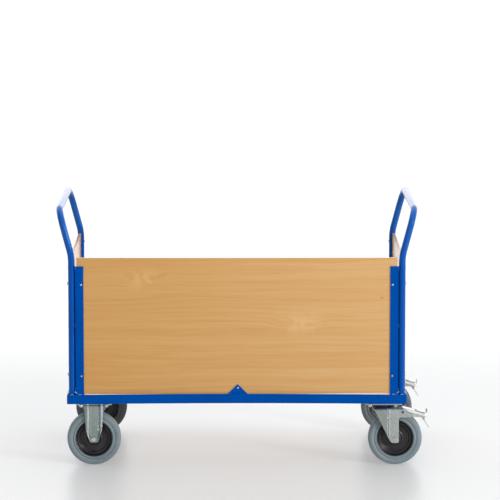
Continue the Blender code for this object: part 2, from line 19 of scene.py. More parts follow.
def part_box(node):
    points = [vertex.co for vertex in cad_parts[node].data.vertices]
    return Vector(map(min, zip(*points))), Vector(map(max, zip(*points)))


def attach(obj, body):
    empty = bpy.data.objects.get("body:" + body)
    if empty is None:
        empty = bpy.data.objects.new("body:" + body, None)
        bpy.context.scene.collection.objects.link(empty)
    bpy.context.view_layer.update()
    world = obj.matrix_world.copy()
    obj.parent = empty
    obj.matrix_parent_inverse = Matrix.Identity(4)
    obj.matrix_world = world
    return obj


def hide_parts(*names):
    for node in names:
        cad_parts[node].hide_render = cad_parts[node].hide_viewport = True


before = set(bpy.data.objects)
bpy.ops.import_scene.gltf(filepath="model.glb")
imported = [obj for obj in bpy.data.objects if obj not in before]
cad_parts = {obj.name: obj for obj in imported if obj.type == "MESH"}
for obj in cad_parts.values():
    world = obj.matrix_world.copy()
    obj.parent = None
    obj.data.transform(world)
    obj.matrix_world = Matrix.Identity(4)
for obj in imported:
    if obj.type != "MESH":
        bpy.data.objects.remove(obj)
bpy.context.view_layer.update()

LOG = logging.getLogger("trolley")
Point = tuple[float, float]
Colour = tuple[float, float, float]
Shift = Callable[[float, float], float]


class Side(Enum):
    """Which long side of the trolley a piece is on, as the sign of Y."""

    FRONT = -1
    REAR = 1

    @property
    def word(self) -> str:
        """The side as the names of pieces give it."""
        return self.name.lower()


class End(Enum):
    """Which end of the trolley a piece is on, as the sign of X."""

    LEFT = -1
    RIGHT = 1

    @property
    def word(self) -> str:
        """The end as the names of pieces give it."""
        return self.name.lower()


class Turn(Enum):
    """The axis that a turned piece is round."""

    ACROSS = "Y"
    UPRIGHT = "Z"


# ---- finishes -------------------------------------------------------------------------------------
def tone(colour: Colour, factor: float = 1.0) -> tuple[float, float, float, float]:
    """An opaque colour, made lighter or darker by a factor."""
    return (colour[0] * factor, colour[1] * factor, colour[2] * factor, 1.0)


class Graph:
    """A short way to write the nodes of one material."""

    def __init__(self, material: bpy.types.Material) -> None:
        """Takes hold of the material's shader and of the coordinates that stay with the piece.

        Args:
            material: the material, whose nodes are in use.
        """
        self.tree = material.node_tree
        self.shader = self.tree.nodes["Principled BSDF"]
        self.place = self.tree.nodes.new("ShaderNodeTexCoord").outputs["Object"]

    def add(self, kind: str, **settings: object) -> bpy.types.Node:
        """Adds a node.

        Args:
            kind: the node's type.
            **settings: attributes to set on it.

        Returns:
            The node.
        """
        made = self.tree.nodes.new(kind)
        for name, value in settings.items():
            setattr(made, name, value)
        return made

    def feed(self, value: object, socket: bpy.types.NodeSocket) -> None:
        """Links another socket to this one, or sets its value.

        Args:
            value: socket or value to put in.
            socket: the input that takes it.
        """
        if isinstance(value, bpy.types.NodeSocket):
            self.tree.links.new(value, socket)
        else:
            socket.default_value = value

    def spread(self, scale: Sequence[float], shift: Sequence[float] = (0, 0, 0)) -> bpy.types.NodeSocket:
        """The piece's coordinates, stretched and moved.

        Args:
            scale: factor along each axis.
            shift: distance added after scaling.

        Returns:
            The vector socket.
        """
        made = self.add("ShaderNodeMapping")
        self.feed(self.place, made.inputs["Vector"])
        made.inputs["Scale"].default_value = scale
        made.inputs["Location"].default_value = shift
        return made.outputs["Vector"]

    def coordinate(self, axis: str) -> bpy.types.NodeSocket:
        """One of the piece's coordinates: X, Y or Z.

        Args:
            axis: the letter of its axis.

        Returns:
            The coordinate's socket.
        """
        made = self.add("ShaderNodeSeparateXYZ")
        self.feed(self.place, made.inputs[0])
        return made.outputs[axis]

    def length(self, vector: bpy.types.NodeSocket) -> bpy.types.NodeSocket:
        """The length of a vector.

        Args:
            vector: the vector's socket.

        Returns:
            The length's socket.
        """
        made = self.add("ShaderNodeVectorMath", operation="LENGTH")
        self.feed(vector, made.inputs[0])
        return made.outputs["Value"]

    def noise(
        self,
        vector: bpy.types.NodeSocket,
        scale: float,
        detail: float = 3.0,
        rough: float = 0.5,
        swirl: float = 0.0,
    ) -> bpy.types.NodeSocket:
        """Soft noise between 0 and 1.

        Args:
            vector: coordinates to read.
            scale: lumps per unit.
            detail: octaves.
            rough: weight of the finer octaves.
            swirl: distortion.

        Returns:
            The factor socket.
        """
        made = self.add("ShaderNodeTexNoise")
        self.feed(vector, made.inputs["Vector"])
        numbers = {"Scale": scale, "Detail": detail, "Roughness": rough, "Distortion": swirl}
        for name, number in numbers.items():
            made.inputs[name].default_value = number
        return made.outputs["Fac"]

    def calc(self, operation: str, first: object, second: object = 0.0) -> bpy.types.NodeSocket:
        """One arithmetic step.

        Args:
            operation: the Math node's operation.
            first: socket or number.
            second: socket or number.

        Returns:
            The result's socket.
        """
        made = self.add("ShaderNodeMath", operation=operation)
        self.feed(first, made.inputs[0])
        self.feed(second, made.inputs[1])
        return made.outputs[0]

    def mix(
        self, first: bpy.types.NodeSocket, weight: float, second: bpy.types.NodeSocket, other: float
    ) -> bpy.types.NodeSocket:
        """The weighted sum of two values.

        Args:
            first: socket.
            weight: its weight.
            second: socket.
            other: the second's weight.

        Returns:
            The sum's socket.
        """
        return self.calc("ADD", self.calc("MULTIPLY", first, weight), self.calc("MULTIPLY", second, other))

    def reach(
        self, value: object, low: float, high: float, to_low: float = 0.0, to_high: float = 1.0
    ) -> bpy.types.NodeSocket:
        """Maps a value smoothly from one range to another.

        Args:
            value: socket to map.
            low: start of its range.
            high: end of its range.
            to_low: result at the start.
            to_high: result at the end.

        Returns:
            The result's socket.
        """
        made = self.add("ShaderNodeMapRange", interpolation_type="SMOOTHSTEP")
        self.feed(value, made.inputs["Value"])
        numbers = {"From Min": low, "From Max": high, "To Min": to_low, "To Max": to_high}
        for name, number in numbers.items():
            made.inputs[name].default_value = number
        return made.outputs["Result"]

    def tint(self, factor: object, first: object, second: object, mode: str = "MIX") -> bpy.types.NodeSocket:
        """Mixes two colours.

        Args:
            factor: share of the second.
            first: colour or socket.
            second: colour or socket.
            mode: blending mode.

        Returns:
            The colour socket.
        """
        made = self.add("ShaderNodeMix", data_type="RGBA", blend_type=mode)
        self.feed(factor, made.inputs["Factor"])
        self.feed(first, made.inputs[6])
        self.feed(second, made.inputs[7])
        return made.outputs[2]

    def relief(self, height: bpy.types.NodeSocket, strength: float, depth: float) -> None:
        """Puts a bump on the shader.

        Args:
            height: height between 0 and 1.
            strength: how much of it shows.
            depth: its full height in metres.
        """
        made = self.add("ShaderNodeBump")
        self.feed(height, made.inputs["Height"])
        made.inputs["Strength"].default_value = strength
        made.inputs["Distance"].default_value = depth
        self.feed(made.outputs["Normal"], self.shader.inputs["Normal"])

    def set(self, **values: object) -> None:
        """Sets or feeds the shader's sockets, whose names are written with underscores for spaces."""
        for name, value in values.items():
            self.feed(value, self.shader.inputs[name.replace("_", " ")])


@dataclass(frozen=True)
class Finish:
    """A finish, whose material is made once and then shared."""

    name: str

    def material(self) -> bpy.types.Material:
        """The finish's material.

        Returns:
            The material.
        """
        found = bpy.data.materials.get(self.name)
        if found is None:
            found = bpy.data.materials.new(self.name)
            found.use_nodes = True
            self.dress(Graph(found))
        return found

    def dress(self, graph: Graph) -> None:
        """Wires the material's nodes."""
        raise NotImplementedError


@dataclass(frozen=True)
class PowderCoat(Finish):
    """Semi-gloss powder coat: an even colour with a fine orange-peel skin."""

    colour: Colour = (0.0, 0.070, 0.380)
    sheen: Colour = (0.02, 0.35, 0.98)
    roughness: float = 0.24
    peel: float = 0.05
    clear: float = 0.0  # share of a clear, sharp gloss on top
    pale: Colour = (0.014, 0.096, 0.405)
    # painted reflection: the coat is painted paler between these heights, for the bright surroundings that it
    # reflects
    paling: Optional[Point] = None  # heights between which the coat goes paler

    def dress(self, graph: Graph) -> None:
        """Wires a colour that varies slightly, a painted reflection that pales it between two heights where
        these are given, an uneven gloss and the skin's relief.

        Args:
            graph: the material's graph.
        """
        broad = graph.noise(graph.place, 5.0, 2.0)
        peel = graph.noise(graph.place, 420.0, 2.0, 0.6)
        uneven = graph.noise(graph.place, 60.0, 4.0)
        rough = graph.reach(uneven, 0.3, 0.7, self.roughness - 0.04, self.roughness + 0.04)
        colour = graph.tint(graph.reach(broad, 0.3, 0.7), tone(self.colour, 0.94), tone(self.colour, 1.06))
        # painted reflection: paler towards the top
        if self.paling:
            colour = graph.tint(graph.reach(graph.coordinate("Z"), *self.paling), colour, tone(self.pale))
        graph.set(Base_Color=colour, Roughness=rough, Specular_Tint=tone(self.sheen))
        graph.set(Coat_Weight=self.clear, Coat_Roughness=0.07)
        graph.relief(peel, self.peel, 0.0003)


@dataclass(frozen=True)
class BeechDecor(Finish):
    """Beech decor on a melamine-faced board: fine wavy grain, short flecks and a few flame figures."""

    across: int = 2  # the axis that the grain lines are stacked along
    along: int = 0  # the axis that the grain runs along
    light: Colour = (0.760, 0.464, 0.192)
    middle: Colour = (0.682, 0.378, 0.126)
    dark: Colour = (0.618, 0.294, 0.072)
    figures: tuple[Point, ...] = ()  # places of the flames, along and across
    specks: tuple[Point, ...] = ()  # places of small dark pin knots
    gloss: float = 0.38
    fleck: float = 0.30  # how dark the short flecks are
    ior: float = 1.48
    # painted light: the board is painted darker and warmer at the left and paler at the right, where more
    # light falls
    drift: bool = False  # whether the tone drifts from warm at the left to pale at the right
    embossed: bool = False  # whether the pores are pressed into the surface

    def stretched(
        self, graph: Graph, along: float, across: float, rest: float, spot: Point = (0.0, 0.0)
    ) -> bpy.types.NodeSocket:
        """The piece's coordinates, scaled along the grain, across it and through the board.

        Args:
            graph: the material's graph.
            along: scale along the grain.
            across: scale across it.
            rest: scale through the board.
            spot: place along and across that becomes the origin.

        Returns:
            The vector socket.
        """
        scale, shift = [rest, rest, rest], [0.0, 0.0, 0.0]
        scale[self.along], scale[self.across] = along, across
        shift[self.along], shift[self.across] = -spot[0] * along, -spot[1] * across
        return graph.spread(scale, shift)

    def patch(self, graph: Graph, spot: Point, along: float, across: float) -> bpy.types.NodeSocket:
        """An oval that fades out from a place on the board.

        Args:
            graph: the material's graph.
            spot: its place along and across the grain.
            along: one over its half length.
            across: one over its half height.

        Returns:
            The factor socket, 1 at the oval's middle.
        """
        return graph.reach(graph.length(self.stretched(graph, along, across, 0.0, spot)), 0.0, 1.0, 1.0, 0.0)

    def grain(self, graph: Graph) -> bpy.types.NodeSocket:
        """Coordinates whose lines across the grain wander, and swell round each flame.

        Args:
            graph: the material's graph.

        Returns:
            The vector socket.
        """
        wander = graph.noise(self.stretched(graph, 1.6, 5.0, 1.0), 1.0, 2.0)
        sway = graph.calc("MULTIPLY", wander, 0.9)
        for spot in self.figures:
            swell = graph.calc("MULTIPLY", self.patch(graph, spot, 6.5, 24.0), 0.42)
            sway = graph.calc("ADD", sway, swell)
        combine = graph.add("ShaderNodeCombineXYZ")
        graph.feed(sway, combine.inputs[self.across])
        scaled = graph.add("ShaderNodeVectorMath", operation="SCALE")
        graph.feed(combine.outputs[0], scaled.inputs[0])
        scaled.inputs["Scale"].default_value = 2.4
        total = graph.add("ShaderNodeVectorMath", operation="ADD")
        graph.feed(self.stretched(graph, 0.9, 40.0, 1.0), total.inputs[0])
        graph.feed(scaled.outputs[0], total.inputs[1])
        return total.outputs[0]

    def dress(self, graph: Graph) -> None:
        """Wires the grain, its figure, the flecks and a satin surface with a light relief.

        Args:
            graph: the material's graph.
        """
        grain = self.grain(graph)
        broad = graph.noise(grain, 0.8, 2.0, 0.5)
        bands = graph.noise(grain, 2.4, 5.0, 0.62)
        fine = graph.noise(self.stretched(graph, 9.0, 420.0, 9.0), 1.0, 3.0, 0.6)
        flecks = graph.noise(self.stretched(graph, 70.0, 900.0, 70.0), 1.0, 1.0, 0.5)
        share = graph.reach(graph.mix(bands, 0.62, broad, 0.38), 0.38, 0.62)
        colour = graph.tint(share, tone(self.dark), tone(self.light))
        colour = graph.tint(0.62, colour, tone(self.middle))
        colour = graph.tint(graph.reach(flecks, 0.66, 0.76, 0.0, self.fleck), colour, tone(self.dark, 0.62))
        colour = graph.tint(graph.reach(fine, 0.35, 0.65, 0.0, 0.22), colour, tone(self.light))
        ripple = graph.noise(self.stretched(graph, 22.0, 24.0, 1.0), 1.0, 1.0, 0.5, 0.5)
        for spot in self.figures:
            rippled = graph.reach(ripple, 0.46, 0.62, 0.0, 0.70)
            shine = graph.calc("MULTIPLY", self.patch(graph, spot, 7.0, 17.0), rippled)
            colour = graph.tint(shine, colour, tone(self.light, 1.04))
        # painted light: darker and warmer at the left, paler at the right
        if self.drift:
            share = graph.reach(graph.coordinate("X"), -0.62, 0.58)
            painted_light_wash = graph.tint(share, tone((0.96, 0.91, 0.80)), tone((1.03, 1.06, 1.18)))
            colour = graph.tint(1.0, colour, painted_light_wash, "MULTIPLY")
        for spot in self.specks:
            mark = graph.calc("MULTIPLY", self.patch(graph, spot, 95.0, 190.0), 0.5)
            colour = graph.tint(mark, colour, tone(self.dark, 0.5))
        rough = graph.reach(fine, 0.3, 0.7, self.gloss - 0.01, self.gloss + self.fleck * 0.1)
        graph.set(Base_Color=colour, Roughness=rough, IOR=self.ior)
        if self.embossed:
            graph.relief(graph.calc("ADD", fine, flecks), 0.05, 0.0003)


@dataclass(frozen=True)
class PaintedBand:
    """A band of a pressing, between two places in X, where the zinc is painted in another tone: painted
    highlights and painted shade on its bends.
    """

    low: float
    high: float
    tone: Colour
    fade_low: float = 0.0026
    fade_high: float = 0.0026


@dataclass(frozen=True)
class ZincPlate(Finish):
    """Bright zinc on pressed steel: a slightly mottled, greenish-grey metal with faint draw lines."""

    low: Colour = (0.47, 0.515, 0.495)
    high: Colour = (0.56, 0.610, 0.590)
    roughness: float = 0.24
    metallic: float = 1.0
    # bands of painted highlight and painted shade across the pressing
    folds: tuple[PaintedBand, ...] = ()

    def dress(self, graph: Graph) -> None:
        """Wires a mottled colour, the painted highlights and painted shade of its bands, an uneven gloss and
        the steel's skin.

        Args:
            graph: the material's graph.
        """
        mottle = graph.noise(graph.spread((46.0, 46.0, 16.0)), 1.0, 4.0, 0.6, 0.6)
        spangle = graph.noise(graph.spread((240.0, 240.0, 70.0)), 1.0, 3.0, 0.55)
        drawn = graph.noise(graph.spread((900.0, 900.0, 60.0)), 1.0, 2.0)
        cloud = graph.reach(graph.mix(mottle, 0.7, spangle, 0.3), 0.36, 0.64)
        colour = graph.tint(cloud, tone(self.low), tone(self.high))
        tea = graph.reach(graph.noise(graph.place, 21.0, 2.0, 0.5, 1.0), 0.52, 0.70, 0.0, 0.14)
        colour = graph.tint(tea, colour, tone((0.46, 0.46, 0.36)))
        across = graph.coordinate("X")
        # lay the painted highlights and painted shade of the bands on the zinc
        for painted_band in self.folds:
            after = graph.reach(across, painted_band.low - painted_band.fade_low, painted_band.low)
            until = graph.reach(across, painted_band.high, painted_band.high + painted_band.fade_high, 1.0, 0.0)
            clouded = graph.tint(cloud, tone(painted_band.tone, 0.92), tone(painted_band.tone, 1.08))
            colour = graph.tint(graph.calc("MULTIPLY", after, until), colour, clouded)
        rough = graph.reach(drawn, 0.3, 0.7, self.roughness - 0.06, self.roughness + 0.08)
        graph.set(Base_Color=colour, Roughness=rough, Metallic=self.metallic)
        graph.relief(graph.calc("ADD", spangle, drawn), 0.020, 0.0003)


@dataclass(frozen=True)
class SoftTyre(Finish):
    """Grey non-marking rubber: matt, dusted towards the tread, with fine moulding marks."""

    colour: Colour = (0.205, 0.262, 0.288)
    tread: float = 0.0955  # distance from the axle where the tread's dust begins
    axle: Point = (0.0, 0.0)  # the axle's X and Z
    ring_pitch: float = 0.0011

    def dress(self, graph: Graph) -> None:
        """Wires the grey, its dust, fine rings and a soft relief.

        Args:
            graph: the material's graph.
        """
        radius = graph.length(graph.spread((1.0, 0.0, 1.0), (-self.axle[0], 0.0, -self.axle[1])))
        dusty = graph.reach(radius, self.tread, self.tread + 0.004, 0.0, 0.55)
        grain = graph.noise(graph.place, 160.0, 4.0, 0.6)
        cloud = graph.noise(graph.place, 14.0, 2.0)
        colour = graph.tint(graph.reach(cloud, 0.3, 0.7), tone(self.colour, 0.90), tone(self.colour, 1.10))
        colour = graph.tint(dusty, colour, tone(self.colour, 1.3))
        wave = graph.calc("SINE", graph.calc("MULTIPLY", radius, 2 * math.pi / self.ring_pitch))
        rings = graph.calc("MULTIPLY", wave, 0.12)
        graph.set(Base_Color=colour, Roughness=graph.reach(grain, 0.3, 0.7, 0.50, 0.62))
        graph.relief(graph.calc("ADD", grain, rings), 0.16, 0.0004)


@dataclass(frozen=True)
class MouldedPlastic(Finish):
    """Black moulded plastic with a faint flow texture."""

    colour: Colour = (0.012, 0.012, 0.014)
    roughness: float = 0.33

    def dress(self, graph: Graph) -> None:
        """Wires the near-black colour, its gloss and grain.

        Args:
            graph: the material's graph.
        """
        grain = graph.noise(graph.place, 520.0, 3.0, 0.6)
        flow = graph.noise(graph.place, 24.0, 3.0, 0.5, 1.2)
        graph.set(
            Base_Color=graph.tint(graph.reach(flow, 0.35, 0.7), tone(self.colour), tone(self.colour, 1.7)),
            Roughness=graph.reach(flow, 0.3, 0.7, self.roughness - 0.05, self.roughness + 0.10),
        )
        graph.relief(grain, 0.004, 0.0003)


@dataclass(frozen=True)
class StudioPaper(Finish):
    """The pale floor: light grey under the trolley, with a glow that grows further out towards white."""

    light: Colour = (0.392, 0.400, 0.410)
    dark: Colour = (0.376, 0.384, 0.394)
    near: float = 1.25
    far: float = 3.8
    glow_near: float = 0.30
    glow_far: float = 0.46

    def dress(self, graph: Graph) -> None:
        """Wires the paper's grey and its glow by the distance from the trolley.

        Args:
            graph: the material's graph.
        """
        glow = graph.reach(graph.length(graph.place), self.near, self.far, self.glow_near, self.glow_far)
        fibre = graph.reach(graph.noise(graph.place, 90.0, 3.0), 0.3, 0.7)
        colour = graph.tint(fibre, tone(self.light), tone(self.dark))
        graph.set(Base_Color=colour, Roughness=0.34, Specular_IOR_Level=0.27)
        graph.set(Emission_Color=tone((0.995, 1.0, 0.995)), Emission_Strength=glow)


BLUE = PowderCoat("blue_powder_coat")
# the push bars carry a painted reflection that pales their coat towards the top
BAR_BLUE = PowderCoat(
    "blue_handled_coat", (0.0, 0.076, 0.400), roughness=0.15, peel=0.01, clear=0.15, paling=(0.72, 0.88)
)
WELD_BLUE = PowderCoat("blue_over_weld", sheen=(1.0, 1.0, 1.0), roughness=0.14, clear=0.5)
# painted highlight: these weld beads are painted pale to show glints
WELD_PAINTED_GLINT = PowderCoat("pale_over_weld", (0.30, 0.40, 0.62), (1.0, 1.0, 1.0), 0.16, clear=0.6)
# the front wall's board carries the painted side light
WALL_BOARD = BeechDecor(
    "beech_wall", figures=((-0.37, 0.70), (0.20, 0.535)), specks=((0.512, 0.632),), drift=True, embossed=True
)
END_BOARD = BeechDecor("beech_end_wall", along=1, figures=((0.16, 0.60),), gloss=0.16, fleck=0.05, ior=1.62)
DECK_BOARD = BeechDecor("beech_deck", across=1, figures=((0.2, 0.1), (-0.3, -0.2)), gloss=0.24, fleck=0.15)
EDGE_BAND = BeechDecor(
    "beech_edging",
    light=(0.76, 0.47, 0.22),
    middle=(0.68, 0.385, 0.155),
    dark=(0.60, 0.32, 0.12),
    gloss=0.18,
    fleck=0.05,
    ior=1.62,
)
ZINC = ZincPlate("zinc_pressed_steel")
ZINC_PEDAL = ZincPlate("zinc_pedal_steel", (0.58, 0.61, 0.60), (0.68, 0.71, 0.70), 0.27)
# painted highlight: a pale zinc for the strips that paint the pedal's bright skirts
ZINC_PAINTED_HIGHLIGHT = ZincPlate("zinc_planished", (0.78, 0.745, 0.735), (0.86, 0.825, 0.815), 0.45, 0.3)
ZINC_BRIGHT = ZincPlate("zinc_fasteners", (0.50, 0.53, 0.52), (0.70, 0.73, 0.72), 0.22)
# painted shade: the ball race halves and the pivot bores are painted dark blue, for the shade under the plate
# and the blue frame they reflect
RACE_PAINTED_SHADE = ZincPlate("greased_race_steel", (0.022, 0.045, 0.135), (0.045, 0.075, 0.190), 0.40, 0.4)
HUB_BLACK = MouldedPlastic("black_rim_plastic")
BRAKE_PAD = MouldedPlastic("brake_pad_rubber", (0.03, 0.03, 0.03), 0.7)
FLOOR_PAPER = StudioPaper("studio_paper")


# ---- mesh tools -----------------------------------------------------------------------------------
def settle(
    name: str,
    shape: bmesh.types.BMesh,
    finish: Finish,
    body: str,
    stands_for: Sequence[str] = (),
    bevel: float = 0.0,
    crease: float = 34.0,
    place: Optional[Matrix] = None,
) -> bpy.types.Object:
    """Turns a shape into a finished piece of the trolley.

    Args:
        name: the piece's name.
        shape: its mesh, which is used up.
        finish: what it is made of.
        body: the moving body that carries it.
        stands_for: model nodes that it replaces.
        bevel: width of its rounded edges.
        crease: edges sharper than this many degrees stay crisp.
        place: moves the mesh first.

    Returns:
        The piece.
    """
    if place is not None:
        bmesh.ops.transform(shape, matrix=place, verts=shape.verts)
    bmesh.ops.recalc_face_normals(shape, faces=shape.faces)
    mesh = bpy.data.meshes.new(name)
    shape.to_mesh(mesh)
    shape.free()
    mesh.materials.append(finish.material())
    piece = bpy.data.objects.new(name, mesh)
    bpy.context.scene.collection.objects.link(piece)
    mesh.shade_smooth()
    mesh.set_sharp_from_angle(angle=math.radians(crease))
    if bevel:
        round_edges(piece, bevel)
    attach(piece, body)
    if stands_for:
        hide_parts(*stands_for)
    LOG.info("%s on %s", name, body)
    return piece


def round_edges(piece: bpy.types.Object, width: float) -> None:
    """Gives a piece rounded edges.

    Args:
        piece: the piece.
        width: how far the rounding reaches.
    """
    made = piece.modifiers.new("rounded_edges", "BEVEL")
    made.width = width
    made.segments = 2
    made.limit_method = "ANGLE"
    made.angle_limit = math.radians(40)
    made.harden_normals = False


def keep_node(name: str, finish: Finish, bevel: float = 0.0) -> None:
    """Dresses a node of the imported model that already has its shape.

    Args:
        name: the node.
        finish: what it is made of.
        bevel: width of its rounded edges.
    """
    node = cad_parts[name]
    node.data.materials.clear()
    node.data.materials.append(finish.material())
    if bevel:
        round_edges(node, bevel)
    LOG.info("%s keeps its shape", name)


def bridge_rings(
    shape: bmesh.types.BMesh, rings: Sequence[Sequence[bmesh.types.BMVert]], closed: bool = False
) -> None:
    """Joins rings of corners into a skin.

    Args:
        shape: the mesh that holds them.
        rings: rings of equal length, or of one corner at a pole.
        closed: whether the last ring meets the first.
    """
    count = len(rings)
    for i in range(count if closed else count - 1):
        first, second = rings[i], rings[(i + 1) % count]
        steps = max(len(first), len(second))
        for k in range(steps):
            after = (k + 1) % steps
            corners = [first[k % len(first)], first[after % len(first)]]
            corners += [second[after % len(second)], second[k % len(second)]]
            face = list(dict.fromkeys(corners))
            if len(face) > 2:
                shape.faces.new(face)


def cap_ends(shape: bmesh.types.BMesh, rings: Sequence[Sequence[bmesh.types.BMVert]]) -> None:
    """Closes the first and the last ring with a face each."""
    shape.faces.new(rings[0])
    shape.faces.new(rings[-1])


def lathe(
    profile: Sequence[Point], steps: int = 64, turn: Turn = Turn.ACROSS, closed: bool = False
) -> bmesh.types.BMesh:
    """A turned shape.

    Args:
        profile: (radius, distance along the axis); a radius of 0 makes a pole.
        steps: sides of the turning.
        turn: the axis.
        closed: whether the profile is a ring's section.

    Returns:
        The mesh, about the origin.
    """
    shape = bmesh.new()
    rings = []
    for radius, along in profile:
        ring = []
        for k in range(1 if radius < 1e-7 else steps):
            a = math.tau * k / steps
            x, y = radius * math.cos(a), radius * math.sin(a)
            ring.append(shape.verts.new((x, along, y) if turn is Turn.ACROSS else (x, y, along)))
        rings.append(ring)
    bridge_rings(shape, rings, closed)
    return shape


def rounded_corner(before: Vector, here: Vector, after: Vector, radius: float, steps: int) -> list[Vector]:
    """The arc that rounds one corner.

    Args:
        before: the corner before it.
        here: the corner.
        after: the corner after it.
        radius: the arc's radius.
        steps: points on the arc, less one.

    Returns:
        The arc's points.
    """
    back = (before - here).normalized()
    ahead = (after - here).normalized()
    half = back.angle(ahead) / 2
    middle = here + (back + ahead).normalized() * radius / math.sin(half)
    first = here + back * radius / math.tan(half) - middle
    last = here + ahead * radius / math.tan(half) - middle
    swing = first.angle(last)
    out = []
    for k in range(steps + 1):
        share = k / steps
        spot = middle + first * math.sin((1 - share) * swing) / math.sin(swing)
        spot += last * math.sin(share * swing) / math.sin(swing)
        out.append(spot)
    return out


def soften(corners: Sequence[tuple[float, float, float]], steps: int = 4, closed: bool = True) -> list[Point]:
    """Rounds the corners of an outline.

    Args:
        corners: (x, y, radius) of each.
        steps: points on each rounding, less one.
        closed: whether the last corner joins the first.

    Returns:
        The outline.
    """
    out: list[Point] = []
    count = len(corners)
    for i, (x, y, radius) in enumerate(corners):
        if radius <= 0 or (not closed and i in (0, count - 1)):
            out.append((x, y))
            continue
        before, after = Vector(corners[i - 1][:2]), Vector(corners[(i + 1) % count][:2])
        out += [(p.x, p.y) for p in rounded_corner(before, Vector((x, y)), after, radius, steps)]
    return out


def rectangle(
    low_x: float, low_y: float, high_x: float, high_y: float, radius: float = 0.0, steps: int = 4
) -> list[Point]:
    """A rectangular outline, with rounded corners if a radius is given."""
    corners = ((low_x, low_y), (high_x, low_y), (high_x, high_y), (low_x, high_y))
    return soften([(x, y, radius) for x, y in corners], steps)


def rounded_path(corners: Sequence[tuple[Vector, float]], steps: int) -> list[Vector]:
    """A path in space whose corners are rounded.

    Args:
        corners: (point, radius) of each.
        steps: points on each rounding, less one.

    Returns:
        The path.
    """
    out: list[Vector] = []
    for i, (here, radius) in enumerate(corners):
        if radius <= 0 or i in (0, len(corners) - 1):
            out.append(here.copy())
        else:
            out += rounded_corner(corners[i - 1][0], here, corners[i + 1][0], radius, steps)
    return out


def sweep(path: Sequence[Vector], radius: Callable[[int], float], sides: int = 28) -> bmesh.types.BMesh:
    """A round bar along a path.

    Args:
        path: its points.
        radius: the bar's radius at each point's number.
        sides: sides of its section.

    Returns:
        The mesh, closed at both ends.
    """
    shape = bmesh.new()
    rings = []
    before = (path[1] - path[0]).normalized()
    side = before.orthogonal().normalized()
    for i, point in enumerate(path):
        ahead = (path[min(i + 1, len(path) - 1)] - path[max(i - 1, 0)]).normalized()
        side = before.rotation_difference(ahead) @ side
        side = (side - ahead * side.dot(ahead)).normalized()
        up = ahead.cross(side)
        before = ahead
        ring = []
        for k in range(sides):
            a = math.tau * k / sides
            ring.append(shape.verts.new(point + (side * math.cos(a) + up * math.sin(a)) * radius(i)))
        rings.append(ring)
    bridge_rings(shape, rings)
    shape.faces.new(rings[0][::-1])
    shape.faces.new(rings[-1])
    return shape


def is_inside(outline: Sequence[Point], x: float, y: float) -> bool:
    """Whether a point lies inside an outline.

    Args:
        outline: the outline's points.
        x: first coordinate of the point.
        y: second coordinate of the point.

    Returns:
        True if it does.
    """
    inside = False
    for i, (x1, y1) in enumerate(outline):
        x0, y0 = outline[i - 1]
        if (y0 > y) != (y1 > y) and x < (x1 - x0) * (y - y0) / (y1 - y0) + x0:
            inside = not inside
    return inside


def pressed_sheet(
    outline: Sequence[Point],
    holes: Sequence[Sequence[Point]],
    thickness: float,
    spread: Iterable[Point] = (),
    rise: Optional[Shift] = None,
) -> bmesh.types.BMesh:
    """A sheet that stands in X and Z with its outer face towards -Y, pressed to a relief.

    Args:
        outline: its edge, as (x, z).
        holes: edges of its holes.
        thickness: the sheet's thickness.
        spread: points inside it that follow the pressing.
        rise: how far the outer face comes forward at (x, z).

    Returns:
        The mesh, its flat outer face at y = 0.
    """
    rims = [list(outline), *(list(hole) for hole in holes)]
    spots = [Vector(p) for rim in rims for p in rim]
    edges = []
    start = 0
    for rim in rims:
        edges += [(start + k, start + (k + 1) % len(rim)) for k in range(len(rim))]
        start += len(rim)
    for x, z in spread:
        clear = min((Vector((x, z)) - s).length for s in spots[:start])
        if clear > 0.0007 and is_inside(outline, x, z) and not any(is_inside(h, x, z) for h in holes):
            spots.append(Vector((x, z)))
    points, _, faces, *_ = delaunay_2d_cdt(spots, edges, [], 1, 1e-7)
    shape = bmesh.new()
    outer, inner = [], []
    for p in points:
        out = rise(p.x, p.y) if rise else 0.0
        outer.append(shape.verts.new((p.x, -out, p.y)))
        inner.append(shape.verts.new((p.x, thickness - out, p.y)))
    used: dict[tuple[int, int], int] = {}
    for face in faces:
        middle = sum((points[i] for i in face), Vector((0, 0))) / len(face)
        if not is_inside(outline, *middle) or any(is_inside(h, *middle) for h in holes):
            continue
        shape.faces.new([outer[i] for i in face])
        shape.faces.new([inner[i] for i in reversed(face)])
        for a, b in zip(face, [*face[1:], face[0]]):
            used[(a, b)] = 1
    for a, b in used:
        if (b, a) not in used:
            shape.faces.new([outer[b], outer[a], inner[a], inner[b]])
    loose = [v for v in shape.verts if not v.link_faces]
    bmesh.ops.delete(shape, geom=loose, context="VERTS")
    return shape


def ring_outline(radius: float, steps: int = 24, centre: Point = (0.0, 0.0)) -> list[Point]:
    """A round outline."""
    turns = (math.tau * k / steps for k in range(steps))
    return [(centre[0] + radius * math.cos(a), centre[1] + radius * math.sin(a)) for a in turns]


def smooth_step(value: float, low: float, high: float) -> float:
    """0 below low, 1 above high, and an even curve between; low may be above high."""
    share = min(1.0, max(0.0, (value - low) / (high - low)))
    return share * share * (3 - 2 * share)


def joined(shapes: Iterable[bmesh.types.BMesh]) -> bmesh.types.BMesh:
    """One mesh that holds several, which are used up.

    Args:
        shapes: the meshes.

    Returns:
        The mesh.
    """
    total = bmesh.new()
    for shape in shapes:
        mesh = bpy.data.meshes.new("part")
        shape.to_mesh(mesh)
        shape.free()
        total.from_mesh(mesh)
        bpy.data.meshes.remove(mesh)
    return total


def moved(shape: bmesh.types.BMesh, matrix: Matrix) -> bmesh.types.BMesh:
    """The same mesh after a move."""
    bmesh.ops.transform(shape, matrix=matrix, verts=shape.verts)
    return shape


def by(x: float, y: float, z: float) -> Matrix:
    """A move without a turn."""
    return Matrix.Translation((x, y, z))


